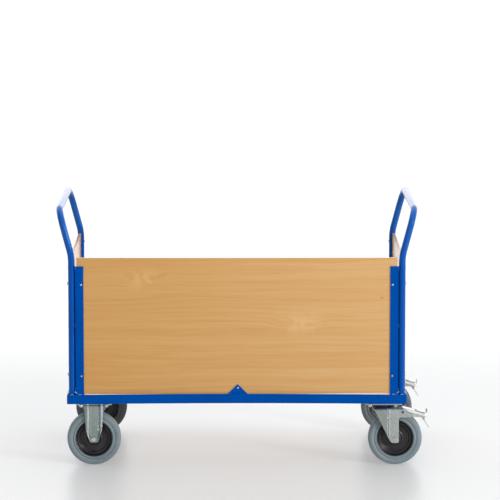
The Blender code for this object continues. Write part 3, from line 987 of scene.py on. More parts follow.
def turned(degrees: float, axis: str) -> Matrix:
    """A turn about an axis through the origin."""
    return Matrix.Rotation(math.radians(degrees), 4, axis)


def laid_flat() -> Matrix:
    """Lays a standing sheet level, with its outer face up and its outline's second direction along Y."""
    return turned(-90, "X") @ Matrix.Diagonal((1, 1, -1, 1))


def mirrored(side: Side) -> Matrix:
    """Leaves a mesh that faces -Y alone for the front, and mirrors it to face +Y for the rear."""
    return Matrix.Diagonal((1, 1 if side is Side.FRONT else -1, 1, 1))


# ---- where things are -----------------------------------------------------------------------------
TUBE_RADIUS = 0.0125  # of the push bars
WALL_BOLTS = {"upper": 0.681, "lower": 0.3405}  # heights of the bolts through the end walls


@dataclass
class Layout:
    """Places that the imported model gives."""

    centre: float  # X of the frame's middle
    half_length: float
    half_width: float
    rail_low: float
    rail_high: float
    tube_x: float
    tube_y: float

    @classmethod
    def read(cls) -> "Layout":
        """Reads the places from the model's nodes.

        Returns:
            The places.
        """
        left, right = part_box("left_rail")[0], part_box("right_rail")[1]
        front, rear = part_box("front_rail"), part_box("rear_rail")
        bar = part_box("left_push_bar")
        middle = (left.x + right.x) / 2
        return cls(
            centre=middle,
            half_length=(right.x - left.x) / 2,
            half_width=(rear[1].y - front[0].y) / 2,
            rail_low=front[0].z,
            rail_high=front[1].z,
            tube_x=middle - bar[1].x + TUBE_RADIUS,
            tube_y=bar[1].y - TUBE_RADIUS,
        )


# ---- frame ----------------------------------------------------------------------------------------
@dataclass
class WeldSeam:
    """A short fillet weld: a bead with overlapping ripples, painted over."""

    start: Vector
    end: Vector
    width: float = 0.0022
    pitch: float = 0.0016

    def shape(self) -> bmesh.types.BMesh:
        """The bead's mesh.

        Returns:
            The mesh.
        """
        length = (self.end - self.start).length
        count = max(4, int(length / self.pitch) * 3)
        path = [self.start.lerp(self.end, i / count) for i in range(count + 1)]

        def radius(i: int) -> float:
            """The bead's radius, which ripples and fades at both ends."""
            share = i / count
            fade = min(1.0, 0.35 + 6 * min(share, 1 - share))
            ripple = 1 + 0.13 * math.cos(math.tau * share * length / self.pitch) + 0.06 * math.sin(41 * share)
            return self.width * fade * ripple

        return sweep(path, radius, 10)


@dataclass
class FrameRing:
    """The welded frame of 35 mm angle: a standing outer leg and an inward leg below, mitred and ground."""

    layout: Layout
    wall: float = 0.004
    heel: float = 0.0026
    corner: float = 0.0045
    crown: float = 0.0034  # the welding pulls the long rails up in their middle

    def section(self) -> list[Point]:
        """The angle's section as (distance inward, height), with its rounded heel, toes and root.

        Returns:
            The section's corners.
        """
        high = self.layout.rail_high - self.layout.rail_low
        return soften(
            [
                (0, 0, self.heel),
                (high, 0, 0.0008),
                (high, self.wall, 0.0022),
                (self.wall, self.wall, 0.0035),
                (self.wall, high, 0.0014),
                (0, high, 0.0012),
            ],
            3,
        )

    def loop(self, inset: float, height: float) -> list[Vector]:
        """One lengthwise line of the frame.

        Args:
            inset: its distance inward from the outer faces.
            height: its height above the frame's lower side.

        Returns:
            Its points, all the way round.
        """
        half_x, half_y = self.layout.half_length - inset, self.layout.half_width - inset
        radius = max(self.corner - inset, 0.0003)
        arcs = []
        for sx, sy, start in ((1, -1, -90.0), (1, 1, 0.0), (-1, 1, 90.0), (-1, -1, 180.0)):
            x, y = sx * (half_x - radius), sy * (half_y - radius)
            angles = [math.radians(start + 90 * k / 4) for k in range(5)]
            arcs.append([Vector((x + radius * math.cos(a), y + radius * math.sin(a), 0)) for a in angles])
        points: list[Vector] = []
        for i, arc in enumerate(arcs):
            following = arcs[(i + 1) % 4][0]
            steps = 24 if i in (1, 3) else 6
            points += [*arc, *(arc[-1].lerp(following, k / steps) for k in range(1, steps))]
        for p in points:
            share = 1 - min(1.0, abs(p.x) / (self.layout.half_length - 0.03)) ** 2
            p.z = self.layout.rail_low + height + self.crown * share * (1.0 if p.y < 0 else 0.5)
            p.x += self.layout.centre
        return points

    def build(self) -> None:
        """Makes the frame ring and dresses the hidden carriers and the deck."""
        shape = bmesh.new()
        rings = [[shape.verts.new(p) for p in self.loop(inset, height)] for inset, height in self.section()]
        bridge_rings(shape, rings, True)
        rails = ("front_rail", "rear_rail", "left_rail", "right_rail")
        settle("frame_ring", shape, BLUE, "chassis", rails)
        keep_node("left_caster_carrier", BLUE, 0.0006)
        keep_node("right_caster_carrier", BLUE, 0.0006)
        keep_node("deck_board", DECK_BOARD, 0.0008)

    def welds(self) -> None:
        """Makes the ground welds on the mitres' upper edges and inner corners."""
        lay = self.layout
        for end in End:
            for side in Side:
                x, y = lay.centre + end.value * lay.half_length, side.value * lay.half_width
                corner = Vector((x, y, lay.rail_high - 0.0004))
                inward = Vector((-end.value, -side.value, 0))
                seam = WeldSeam(corner + inward * 0.0010, corner + inward * 0.0042, 0.0010)
                name = f"mitre_weld_{end.word}_{side.word}"
                settle(name, seam.shape(), WELD_BLUE, "chassis")


# ---- push bars ------------------------------------------------------------------------------------
@dataclass
class PushBar:
    """A push bar of 25 mm tube: two uprights, an outward rake and a cross bar, bent in one piece."""

    layout: Layout
    end: End
    radius: float = TUBE_RADIUS
    bend_height: float = 0.7866
    rake_radius: float = 0.180
    corner_radius: float = 0.070

    def path(self) -> list[Vector]:
        """The tube's middle line.

        Returns:
            The line's points.
        """
        lay, sign = self.layout, self.end.value
        low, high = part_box(f"{self.end.word}_push_bar")
        near = lay.centre + sign * lay.tube_x
        far = (high.x if sign > 0 else low.x) - sign * self.radius
        top = high.z - self.radius
        foot = lay.rail_low + 0.0046
        corners = [
            (Vector((near, -lay.tube_y, foot)), 0.0),
            (Vector((near, -lay.tube_y, self.bend_height)), self.rake_radius),
            (Vector((far, -lay.tube_y, top)), self.corner_radius),
            (Vector((far, lay.tube_y, top)), self.corner_radius),
            (Vector((near, lay.tube_y, self.bend_height)), self.rake_radius),
            (Vector((near, lay.tube_y, foot)), 0.0),
        ]
        return rounded_path(corners, 12)

    def build(self) -> None:
        """Makes the tube and the welds round its feet."""
        path = self.path()
        shape = sweep(path, lambda i: self.radius, 36)
        node = f"{self.end.word}_push_bar"
        settle(f"{self.end.word}_bar_tube", shape, BAR_BLUE, "chassis", (node,))
        reach = self.radius + 0.0012
        for side in Side:
            outward = (Vector((self.end.value, 0, 0)), Vector((0, side.value, 0)))
            along = (Vector((0, 1, 0)), Vector((1, 0, 0)))
            foot = Vector((path[0].x, side.value * self.layout.tube_y, self.layout.rail_high - 0.0008))
            for step in range(2):
                middle = foot + outward[step] * reach
                name = f"{self.end.word}_{side.word}_foot_weld_{step}"
                seam = WeldSeam(middle + along[step] * 0.006, middle - along[step] * 0.006, 0.0026)
                # the outer front foot weld carries a painted glint
                coat = WELD_PAINTED_GLINT if step and side is Side.FRONT else WELD_BLUE
                settle(name, seam.shape(), coat, "chassis")


# ---- walls ----------------------------------------------------------------------------------------
@dataclass
class PanHead:
    """A cross-recessed pan head: a low dome with a rolled edge."""

    radius: float = 0.0050
    height: float = 0.0024
    recess: float = 0.0030

    def shape(self) -> bmesh.types.BMesh:
        """The head's mesh, facing -Y, with its flat side at y = 0.

        Returns:
            The mesh.
        """
        profile = [
            (0.0, 0.0),
            (self.radius, 0.0),
            (self.radius, -self.height * 0.30),
            (self.radius * 0.93, -self.height * 0.62),
            (self.radius * 0.76, -self.height * 0.88),
            (self.radius * 0.48, -self.height),
            (self.radius * 0.20, -self.height),
            (0.0, -self.height),
        ]
        return lathe(profile, 28)

    def cutter(self) -> bpy.types.Object:
        """The cross that is cut into the head, as an object.

        Returns:
            The object, not yet in a collection.
        """
        root, half = 0.0006, 0.0005
        outline = []
        for k in range(4):
            turn = Matrix.Rotation(math.pi / 2 * k, 2)
            for x, y in ((root, root), (self.recess, half), (self.recess, -half), (root, -root)):
                spot = turn @ Vector((x, y))
                outline.append((spot.x, spot.y))
        order = sorted(set(outline), key=lambda p: math.atan2(p[1], p[0]))
        shape = pressed_sheet(order, [], self.height * 0.85)
        mesh = bpy.data.meshes.new("cross_recess")
        bmesh.ops.recalc_face_normals(shape, faces=shape.faces)
        shape.to_mesh(mesh)
        shape.free()
        return bpy.data.objects.new("cross_recess", mesh)

    def cut(self) -> bmesh.types.BMesh:
        """The head with its recess cut out.

        Returns:
            The mesh.
        """
        shape = self.shape()
        bmesh.ops.recalc_face_normals(shape, faces=shape.faces)
        mesh = bpy.data.meshes.new("pan_head")
        shape.to_mesh(mesh)
        shape.free()
        blank, tool = bpy.data.objects.new("pan_head", mesh), self.cutter()
        for item in (blank, tool):
            bpy.context.scene.collection.objects.link(item)
        tool.location.y = -self.height - 0.0004
        trim = blank.modifiers.new("recess", "BOOLEAN")
        trim.operation = "DIFFERENCE"
        trim.object = tool
        bpy.context.view_layer.update()
        graph = bpy.context.evaluated_depsgraph_get()
        out = bmesh.new()
        out.from_mesh(blank.evaluated_get(graph).to_mesh())
        for item in (blank, tool):
            bpy.data.objects.remove(item)
        return out


@dataclass
class Walls:
    """The long front wall and the two end walls, with their strips, gusset, screws, bolts and welds."""

    layout: Layout
    edging: float = 0.0010
    bow: tuple[Point, ...] = (  # the lower edge of the front wall: share of its length, and rise
        (0.0, 0.0016),
        (0.085, 0.0004),
        (0.30, -0.0004),
        (0.5, -0.0008),
        (0.68, 0.0004),
        (0.88, 0.0030),
        (1.0, 0.0040),
    )

    def front_board(self) -> None:
        """Makes the front wall: a 10 mm board with thin glued edging, low at its middle."""
        low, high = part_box("front_panel")
        left, right, top = low.x + self.edging, high.x - self.edging, high.z - self.edging
        bottom = [(low.x + (high.x - low.x) * share, low.z + rise) for share, rise in self.bow]
        left_foot, right_foot = bottom[0][1], bottom[-1][1]
        outline = [(left, left_foot), *bottom[1:-1], (right, right_foot), (right, top), (left, top)]
        depth = high.y - low.y
        place, node = by(0, low.y, 0), "front_panel"
        board = pressed_sheet(outline, [], depth)
        settle("front_wall_board", board, WALL_BOARD, "chassis", (node,), 0.0004, place=place)
        outline = [(low.x, left_foot), (left, left_foot), (left, top), (right, top)]
        outline += [(right, right_foot), (high.x, right_foot), (high.x, high.z), (low.x, high.z)]
        band = pressed_sheet(outline, [], depth)
        settle("front_wall_edging", band, EDGE_BAND, "chassis", (), 0.0004, place=place)

    def strips(self) -> None:
        """Dresses the six flat strips, the gusset and the two end walls."""
        for name in ("front_strip_left", "front_strip_right", "panel_gusset"):
            keep_node(name, BLUE, 0.0007)
        for end in End:
            for side in Side:
                keep_node(f"{end.word}_end_strip_{side.word}", BLUE, 0.0007)
            keep_node(f"{end.word}_end_panel", END_BOARD, 0.0009)

    def joints(self) -> None:
        """Makes the narrow recessed webs that close the gap between each front strip and its tube."""
        lay = self.layout
        for end in End:
            low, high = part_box(f"front_strip_{end.word}")
            first = (high.x if end is End.RIGHT else low.x) - end.value * 0.0030
            last = lay.centre + end.value * (lay.tube_x - 0.0095)
            left, right = min(first, last), max(first, last)
            bottom, top = low.z + 0.002, high.z - 0.012
            middle = [((left + right) / 2, bottom + (top - bottom) * k / 12) for k in range(1, 12)]
            web = pressed_sheet(rectangle(left, bottom, right, top), [], 0.0030, middle)
            place = by(0, high.y + 0.0065, 0)
            settle(f"front_{end.word}_joint_web", web, BLUE, "chassis", (), 0.0006, place=place)

    def screws(self) -> None:
        """Makes the five small screws through the front strips and the gusset."""
        names = [f"front_screw_{end.word}_{level}" for end in End for level in ("upper", "lower")]
        for name in [*names, "gusset_screw"]:
            low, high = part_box(name)
            centre = (low + high) / 2
            place = by(centre.x, low.y + 0.0026, centre.z) @ Matrix.Rotation(0.35 + centre.x * 9, 4, "Y")
            head = PanHead(0.0040, 0.0024, 0.0026).cut()
            settle(f"{name}_head", head, ZINC_BRIGHT, "chassis", (name,), place=place)

    def end_bolts(self) -> None:
        """Makes the dome-headed bolts that clamp the end walls to their strips, and the nuts inside."""
        for end in End:
            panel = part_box(f"{end.word}_end_panel")
            inside = panel[1].x if end is End.LEFT else panel[0].x
            outward, inward = turned(90 * end.value, "Z"), turned(-90 * end.value, "Z")
            for side in Side:
                low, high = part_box(f"{end.word}_end_strip_{side.word}")
                y = (low.y + high.y) / 2 - side.value * 0.004
                outer = low.x if end is End.LEFT else high.x
                for level, z in WALL_BOLTS.items():
                    name = f"{end.word}_{side.word}_bolt_{level}"
                    head = PanHead(0.0072, 0.0052, 0.0036).cut()
                    place = by(outer + end.value * 0.0002, y, z) @ outward
                    settle(name, head, ZINC, "chassis", place=place)
                    nut = HexNut(0.0075, 0.0055, dome=0.0035).shape()
                    place = by(inside - end.value * 0.0002, y, z) @ inward
                    settle(f"{name}_nut", nut, ZINC_BRIGHT, "chassis", place=place)

    def front_welds(self, end: End) -> None:
        """Makes the welds of one front strip, and the tack behind the tube at the rear.

        Args:
            end: the end it is at.
        """
        lay, sign = self.layout, end.value
        tube = lay.centre + sign * lay.tube_x
        low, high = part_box(f"front_strip_{end.word}")
        outer, inner = (high.x, low.x) if end is End.RIGHT else (low.x, high.x)
        face = low.y + 0.0012
        gap = (outer + tube - sign * TUBE_RADIUS) / 2  # the middle of the gap between strip and tube
        beads = (("top", high.z - 0.016, 0.018), ("middle", 0.521, 0.014), ("bottom", 0.279, 0.016))
        for level, z, length in beads:
            run = Vector((sign * 0.0006, 0, length))
            self.weld(f"front_{end.word}_strip_weld_{level}", Vector((gap, face, z)), run, 0.0021)
        # the foot, tack and slant welds carry a painted glint
        foot = lay.rail_high + 0.0002
        start = Vector((inner + sign * 0.0075, face - 0.0008, foot))
        self.weld(f"front_{end.word}_strip_foot_weld", start, Vector((sign * 0.014, 0, 0)), 0.0022, WELD_PAINTED_GLINT)
        start = Vector((tube - sign * 0.0131, lay.tube_y - 0.0020, 0.744))
        self.weld(f"rear_{end.word}_tack_weld", start, Vector((0, 0, 0.007)), 0.0022, WELD_PAINTED_GLINT)
        start = Vector((inner + sign * 0.0262, face - 0.0016, foot + 0.0030))
        run = Vector((sign * 0.0085, 0, 0.0090))
        self.weld(f"front_{end.word}_strip_slant_weld", start, run, 0.0021, WELD_PAINTED_GLINT)

    def end_welds(self, end: End) -> None:
        """Makes the welds of the two strips that carry an end wall.

        Args:
            end: the end it is at.
        """
        for side in Side:
            low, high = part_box(f"{end.word}_end_strip_{side.word}")
            outer = low.x if end is End.LEFT else high.x
            edge = low.y if side is Side.FRONT else high.y
            y = (edge + side.value * (self.layout.tube_y - TUBE_RADIUS)) / 2
            for level, z in (("top", high.z - 0.014), ("middle", 0.515), ("bottom", 0.276)):
                start = Vector((outer - end.value * 0.0010, y, z))
                self.weld(f"{end.word}_{side.word}_end_weld_{level}", start, Vector((0, 0, 0.016)), 0.0021)

    def gusset_welds(self) -> None:
        """Makes the two welds under the gusset."""
        low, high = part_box("panel_gusset")
        for k, x in enumerate((low.x + 0.012, high.x - 0.028)):
            start = Vector((x, low.y - 0.0002, self.layout.rail_high + 0.0034))
            self.weld(f"gusset_weld_{k}", start, Vector((0.016, 0, 0)), 0.0016)

    @staticmethod
    def weld(name: str, start: Vector, run: Vector, width: float, coat: PowderCoat = WELD_BLUE) -> None:
        """Makes one weld.

        Args:
            name: its name.
            start: where it starts.
            run: from there to its end.
            width: the bead's radius.
            coat: the paint over it.
        """
        settle(name, WeldSeam(start, start + run, width).shape(), coat, "chassis")

    def build(self) -> None:
        """Makes everything on the three walls."""
        self.front_board()
        self.strips()
        self.joints()
        self.screws()
        self.end_bolts()
        for end in End:
            self.front_welds(end)
            self.end_welds(end)
        self.gusset_welds()


@dataclass
class HexNut:
    """A six-sided nut or bolt head with a turned chamfer, and a dome or a threaded end above it."""

    radius: float  # to the corners
    height: float
    dome: float = 0.0
    washer: float = 0.0  # the washer's radius
    stub: float = 0.0  # how far the thread stands out
    washer_height: float = 0.0016
    pitch: float = 0.0012

    def shape(self) -> bmesh.types.BMesh:
        """The mesh, facing -Y, with its seat at y = 0.

        Returns:
            The mesh.
        """
        shape = bmesh.new()
        base = 0.0
        parts = []
        if self.washer:
            base = -self.washer_height
            rim = [(self.washer, 0), (self.washer, base * 0.8), (self.washer * 0.98, base)]
            parts.append(lathe([(0, 0), *rim, (0, base)], 36))
        rings = []
        steps, sector = 48, math.pi / 3
        for share, height in ((1.0, 0.0), (1.0, 0.72), (0.97, 0.90), (0.86, 1.0)):
            ring = []
            for k in range(steps):
                a = math.tau * k / steps
                flat = self.radius * math.cos(sector / 2) / math.cos((a + sector / 2) % sector - sector / 2)
                radius = min(flat, self.radius * share)
                spot = (radius * math.cos(a), base - self.height * height, radius * math.sin(a))
                ring.append(shape.verts.new(spot))
            rings.append(ring)
        bridge_rings(shape, rings)
        cap_ends(shape, rings)
        top = base - self.height
        if self.dome:
            wide = self.radius * 0.72
            arc = [(wide * math.cos(a), top - self.dome * math.sin(a)) for a in (0.0, 0.3, 0.6, 0.9, 1.2)]
            parts.append(lathe([(0, top + 0.0002), *arc, (0, top - self.dome)], 32))
        if self.stub:
            wide = self.radius * 0.50
            turns = [(0, top + 0.0002), (wide, top)]
            for k in range(int(self.stub / self.pitch)):
                turns += [(wide, top - self.pitch * (k + 0.1)), (wide * 0.90, top - self.pitch * (k + 0.55))]
            turns += [(wide * 0.86, top - self.stub - 0.0008), (0, top - self.stub - 0.0008)]
            parts.append(lathe(turns, 28))
        return joined([shape, *parts])


# ---- casters --------------------------------------------------------------------------------------
PLATE_TOP = 0.2349
PLATE_HALF_X, PLATE_HALF_Y, PLATE_THICKNESS = 0.0675, 0.055, 0.0038
SLOT_X, SLOT_Y = 0.0475, 0.040
PLATE_NUT_TOP = 0.2309
AXLE_HOLE = 0.0058
# painted shade: the rear tyres are painted a darker grey, for the shade under the deck
REAR_TYRES_PAINTED_SHADE = {"rear_left": (0.098, 0.108, 0.119), "rear_right": (0.140, 0.166, 0.180)}  # darker grey


@dataclass
class Wheel:
    """A 200 mm wheel: grey elastic tyre on a black dished rim with plain hub faces."""

    name: str
    body: str

    def centre(self) -> Vector:
        """The middle of the wheel."""
        low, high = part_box(f"{self.name}_tyre")
        return (low + high) / 2

    def tyre(self) -> bmesh.types.BMesh:
        """The tyre: flat tread, rounded shoulders, a groove in each wall and a lip over the rim.

        Returns:
            The mesh, about the origin.
        """
        half = [
            (99.95, 8.0), (99.9, 13.0), (99.3, 17.2), (97.7, 20.6), (94.9, 23.0), (91.0, 24.3), (86.5, 24.6),
            (83.2, 24.0), (81.0, 23.1), (79.6, 22.1), (78.2, 21.8), (77.0, 22.5), (76.0, 23.7), (74.2, 24.6),
            (71.6, 24.7), (69.8, 23.9), (68.9, 22.2), (68.7, 20.0),
        ]
        profile = [(r / 1000, y / 1000) for r, y in half]
        profile = profile + [(r, -y) for r, y in reversed(profile)]
        return lathe(profile, 128, closed=True)

    def rim(self) -> bmesh.types.BMesh:
        """The rim: outer flange, two stepped rings, a thin web and a hub.

        Returns:
            The mesh, about the origin.
        """
        half = [
            (68.3, 21.2), (67.6, 22.2), (66.0, 22.6), (64.6, 21.9), (63.4, 19.6), (62.2, 16.6), (60.4, 14.2),
            (58.0, 13.0), (55.6, 12.8), (53.8, 12.2), (52.4, 10.4), (50.8, 8.8), (48.6, 8.0), (46.4, 7.9),
            (44.8, 7.0), (42.0, 6.2), (32.0, 5.6), (27.5, 6.6), (24.6, 9.4), (23.0, 14.0), (22.0, 26.0),
            (21.2, 28.2), (19.4, 29.3), (15.2, 29.4), (14.4, 28.6), (10.4, 28.6), (10.2, 28.0),
        ]
        profile = [(r / 1000, y / 1000) for r, y in half]
        profile = profile + [(r, -y) for r, y in reversed(profile)]
        return lathe(profile, 96, closed=True)

    def build(self) -> None:
        """Makes the tyre and the rim."""
        centre = self.centre()
        place = Matrix.Translation(centre)
        # rear wheels take a darker grey: painted shade under the deck
        grey = REAR_TYRES_PAINTED_SHADE.get(self.name, SoftTyre.colour)
        rubber = SoftTyre(f"grey_rubber_{self.name}", grey, axle=(centre.x, centre.z))
        node = f"{self.name}_tyre"
        settle(f"{self.name}_grey_tyre", self.tyre(), rubber, self.body, (node,), place=place)
        node = f"{self.name}_rim"
        settle(f"{self.name}_black_rim", self.rim(), HUB_BLACK, self.body, (node,), place=place)


@dataclass
class Axle:
    """An axle: hexagon bolt outside, nut with its thread inside, and a plain sleeve between the legs."""

    name: str
    body: str
    side: Side
    centre: Vector
    leg_face: float = 0.0345

    def build(self) -> None:
        """Makes the bolt's head and the nut, and dresses the sleeve."""
        middle = Matrix.Translation(self.centre) @ mirrored(self.side)
        seat = by(0, -self.leg_face - 0.0001, 0)
        head = HexNut(0.0088, 0.0058, dome=0.0006, washer=0.0100).shape()
        place, node = middle @ seat, f"{self.name}_axle_bolt"
        settle(f"{self.name}_axle_head", head, ZINC_BRIGHT, self.body, (node,), place=place)
        nut = HexNut(0.0092, 0.0070, washer=0.0104, stub=0.0028).shape()
        place, node = middle @ mirrored(Side.REAR) @ seat, f"{self.name}_axle_nut"
        settle(f"{self.name}_axle_locknut", nut, ZINC_BRIGHT, self.body, (node,), place=place)
        keep_node(f"{self.name}_axle_sleeve", ZINC)


def plate_nuts(name: str, x: float, y: float) -> None:
    """Makes the four nuts under a caster's plate.

    Args:
        name: the caster's name.
        x: the middle of the four, lengthwise.
        y: the same, crosswise.
    """
    for k, (sx, sy) in enumerate(((-1, -1), (1, -1), (-1, 1), (1, 1))):
        place = by(x + sx * SLOT_X, y + sy * SLOT_Y, PLATE_NUT_TOP) @ turned(90, "X")
        place = place @ Matrix.Rotation(0.4 * k, 4, "Y")
        nut = HexNut(0.0078, 0.0062, washer=0.0096, stub=0.0022).shape()
        settle(f"{name}_plate_nut_{k}", nut, ZINC, "chassis", place=place)


def plate_with_slots() -> bmesh.types.BMesh:
    """A caster's mounting plate with its four slots, level, with its upper side at z = 0.

    Returns:
        The mesh.
    """
    outline = rectangle(-PLATE_HALF_X, -PLATE_HALF_Y, PLATE_HALF_X, PLATE_HALF_Y, 0.010)
    half_x, half_y = 0.0085, 0.0048
    holes = []
    for x in (-SLOT_X, SLOT_X):
        for y in (-SLOT_Y, SLOT_Y):
            holes.append(rectangle(x - half_x, y - half_y, x + half_x, y + half_y, half_y * 0.98, 3))
    return moved(pressed_sheet(outline, holes, PLATE_THICKNESS), laid_flat())


@dataclass
class FixedCaster:
    """A fixed caster: mounting plate, two pressed legs with a raised middle, axle and wheel."""

    side: Side
    wall: float = 0.0032
    leg_face: float = 0.0342  # the leg's flat outer face, from the wheel's middle
    foot: float = -0.0135  # the leg's lower and upper end, from the axle
    root: float = 0.1305
    boss: float = 0.0082  # how far the raised middle stands out

    @property
    def name(self) -> str:
        """The caster's name in the model."""
        return f"{self.side.word}_left"

    def half_width(self, height: float) -> float:
        """Half the leg's width at a height above the axle.

        Args:
            height: height above the axle.

        Returns:
            Half the width.
        """
        table = (
            (self.foot, 0.0110), (-0.0120, 0.0140), (-0.0060, 0.0170), (0.0285, 0.0290), (0.0340, 0.0300),
            (0.0700, 0.0318), (0.1000, 0.0335), (0.1100, 0.0360), (0.1170, 0.0405), (0.1220, 0.0465),
            (0.1262, 0.0545), (0.1285, 0.0585), (self.root, 0.0600),
        )
        for (z0, w0), (z1, w1) in zip(table, table[1:]):
            if height <= z1:
                return w0 + (w1 - w0) * max(0.0, height - z0) / (z1 - z0)
        return table[-1][1]

    def outline(self) -> list[Point]:
        """The leg's edge about the axle.

        Returns:
            The outline's points.
        """
        heights = [self.foot, -0.0128, -0.0115, -0.0090, -0.0050, 0.0100, 0.0240, 0.0285, 0.0320, 0.0400]
        heights += [0.0600, 0.0800, 0.1000, 0.1050, 0.1100, 0.1140, 0.1170, 0.1200, 0.1220, 0.1242, 0.1262]
        heights += [0.1285, self.root]
        right = [(self.half_width(z), z) for z in heights]
        return right + [(-x, z) for x, z in reversed(right)]

    def panel(self, z: float) -> Point:
        """Half the width of the raised middle at a height, and the width of its sloping sides.

        Args:
            z: height above the axle.

        Returns:
            Both widths.
        """
        wide = self.half_width(min(z, 0.1))
        slope = min(0.0088, (wide - 0.002) * 0.5)
        return min(0.0158, wide - slope - 0.0022), slope

    def rise(self, x: float, z: float) -> float:
        """The leg's relief: a raised middle with sloping sides, and a bend outwards under the plate.

        Args:
            x: place across the leg, from the axle.
            z: height above the axle.

        Returns:
            How far the outer face comes forward.
        """
        flat, slope = self.panel(z)
        middle = self.boss * (1 - smooth_step(abs(x), flat, flat + slope))
        fade = smooth_step(z, -0.014, 0.012)
        bend = 0.0070 * smooth_step(z, 0.1200, 0.1315) ** 1.5
        return middle * fade + bend

    def spread(self) -> list[Point]:
        """Points along the bends of the pressing.

        Returns:
            The points.
        """
        points = []
        for k in range(34):
            z = -0.0115 + 0.0042 * k if k < 30 else 0.1165 + 0.0034 * (k - 30)
            flat, slope = self.panel(z)
            wide = self.half_width(z)
            across = [0.0, flat * 0.6, *(flat + slope * s for s in (0.0, 0.2, 0.4, 0.6, 0.8, 1.0))]
            step = flat + slope + 0.005
            while step < wide - 0.002:
                across.append(step)
                step += 0.005
            points += [(sign * x, z) for x in across for sign in ((1,) if x == 0 else (1, -1))]
        return points

    def build(self) -> None:
        """Makes the bracket, its axle, the wheel and the plate's nuts."""
        wheel = Wheel(self.name, f"{self.name}_wheel")
        centre = wheel.centre()
        hole = ring_outline(AXLE_HOLE, 20)
        legs = []
        for turn in Side:
            leg = pressed_sheet(self.outline(), [hole], self.wall, self.spread(), self.rise)
            legs.append(moved(leg, mirrored(turn) @ by(0, -self.leg_face, 0)))
        plate = moved(plate_with_slots(), by(0, 0, PLATE_TOP - centre.z))
        steel = ZincPlate("zinc_fixed_bracket", folds=self.folds(centre.x))
        place, node = Matrix.Translation(centre), f"{self.name}_bracket"
        bracket = joined([*legs, plate])
        settle(f"{self.name}_pressed_bracket", bracket, steel, "chassis", (node,), 0.0006, 40, place)
        Axle(self.name, "chassis", self.side, centre, self.leg_face + self.rise(0.006, 0.0)).build()
        plate_nuts(self.name, centre.x, centre.y)
        wheel.build()

    @staticmethod
    def folds(middle: float) -> tuple[PaintedBand, ...]:
        """The painted light and shade on the leg: a darker middle, painted highlights and painted blue-grey
        shade on its flanks, painted dark shade on its flares.

        Args:
            middle: X of the axle.

        Returns:
            The bands.
        """
        # painted shade: the flares are painted dark blue-grey, for the shade and the blue frame above them
        flare = (0.17, 0.22, 0.32)
        return (
            PaintedBand(middle - 0.0165, middle + 0.0165, (0.33, 0.385, 0.365)),
            PaintedBand(middle + 0.0178, middle + 0.0246, (0.200, 0.235, 0.265), 0.0014, 0.0030),
            PaintedBand(middle - 0.0226, middle - 0.0192, (0.86, 0.90, 0.88), 0.0010, 0.0010),
            PaintedBand(middle - 0.0340, middle - 0.0248, (0.26, 0.31, 0.33), 0.0014, 0.0012),
            PaintedBand(middle + 0.0288, middle + 0.0326, (0.74, 0.78, 0.76), 0.0012, 0.0008),
            PaintedBand(middle - 0.0500, middle - 0.0352, flare, 0.0020, 0.0010),
            PaintedBand(middle + 0.0352, middle + 0.0500, flare, 0.0010, 0.0020),
        )


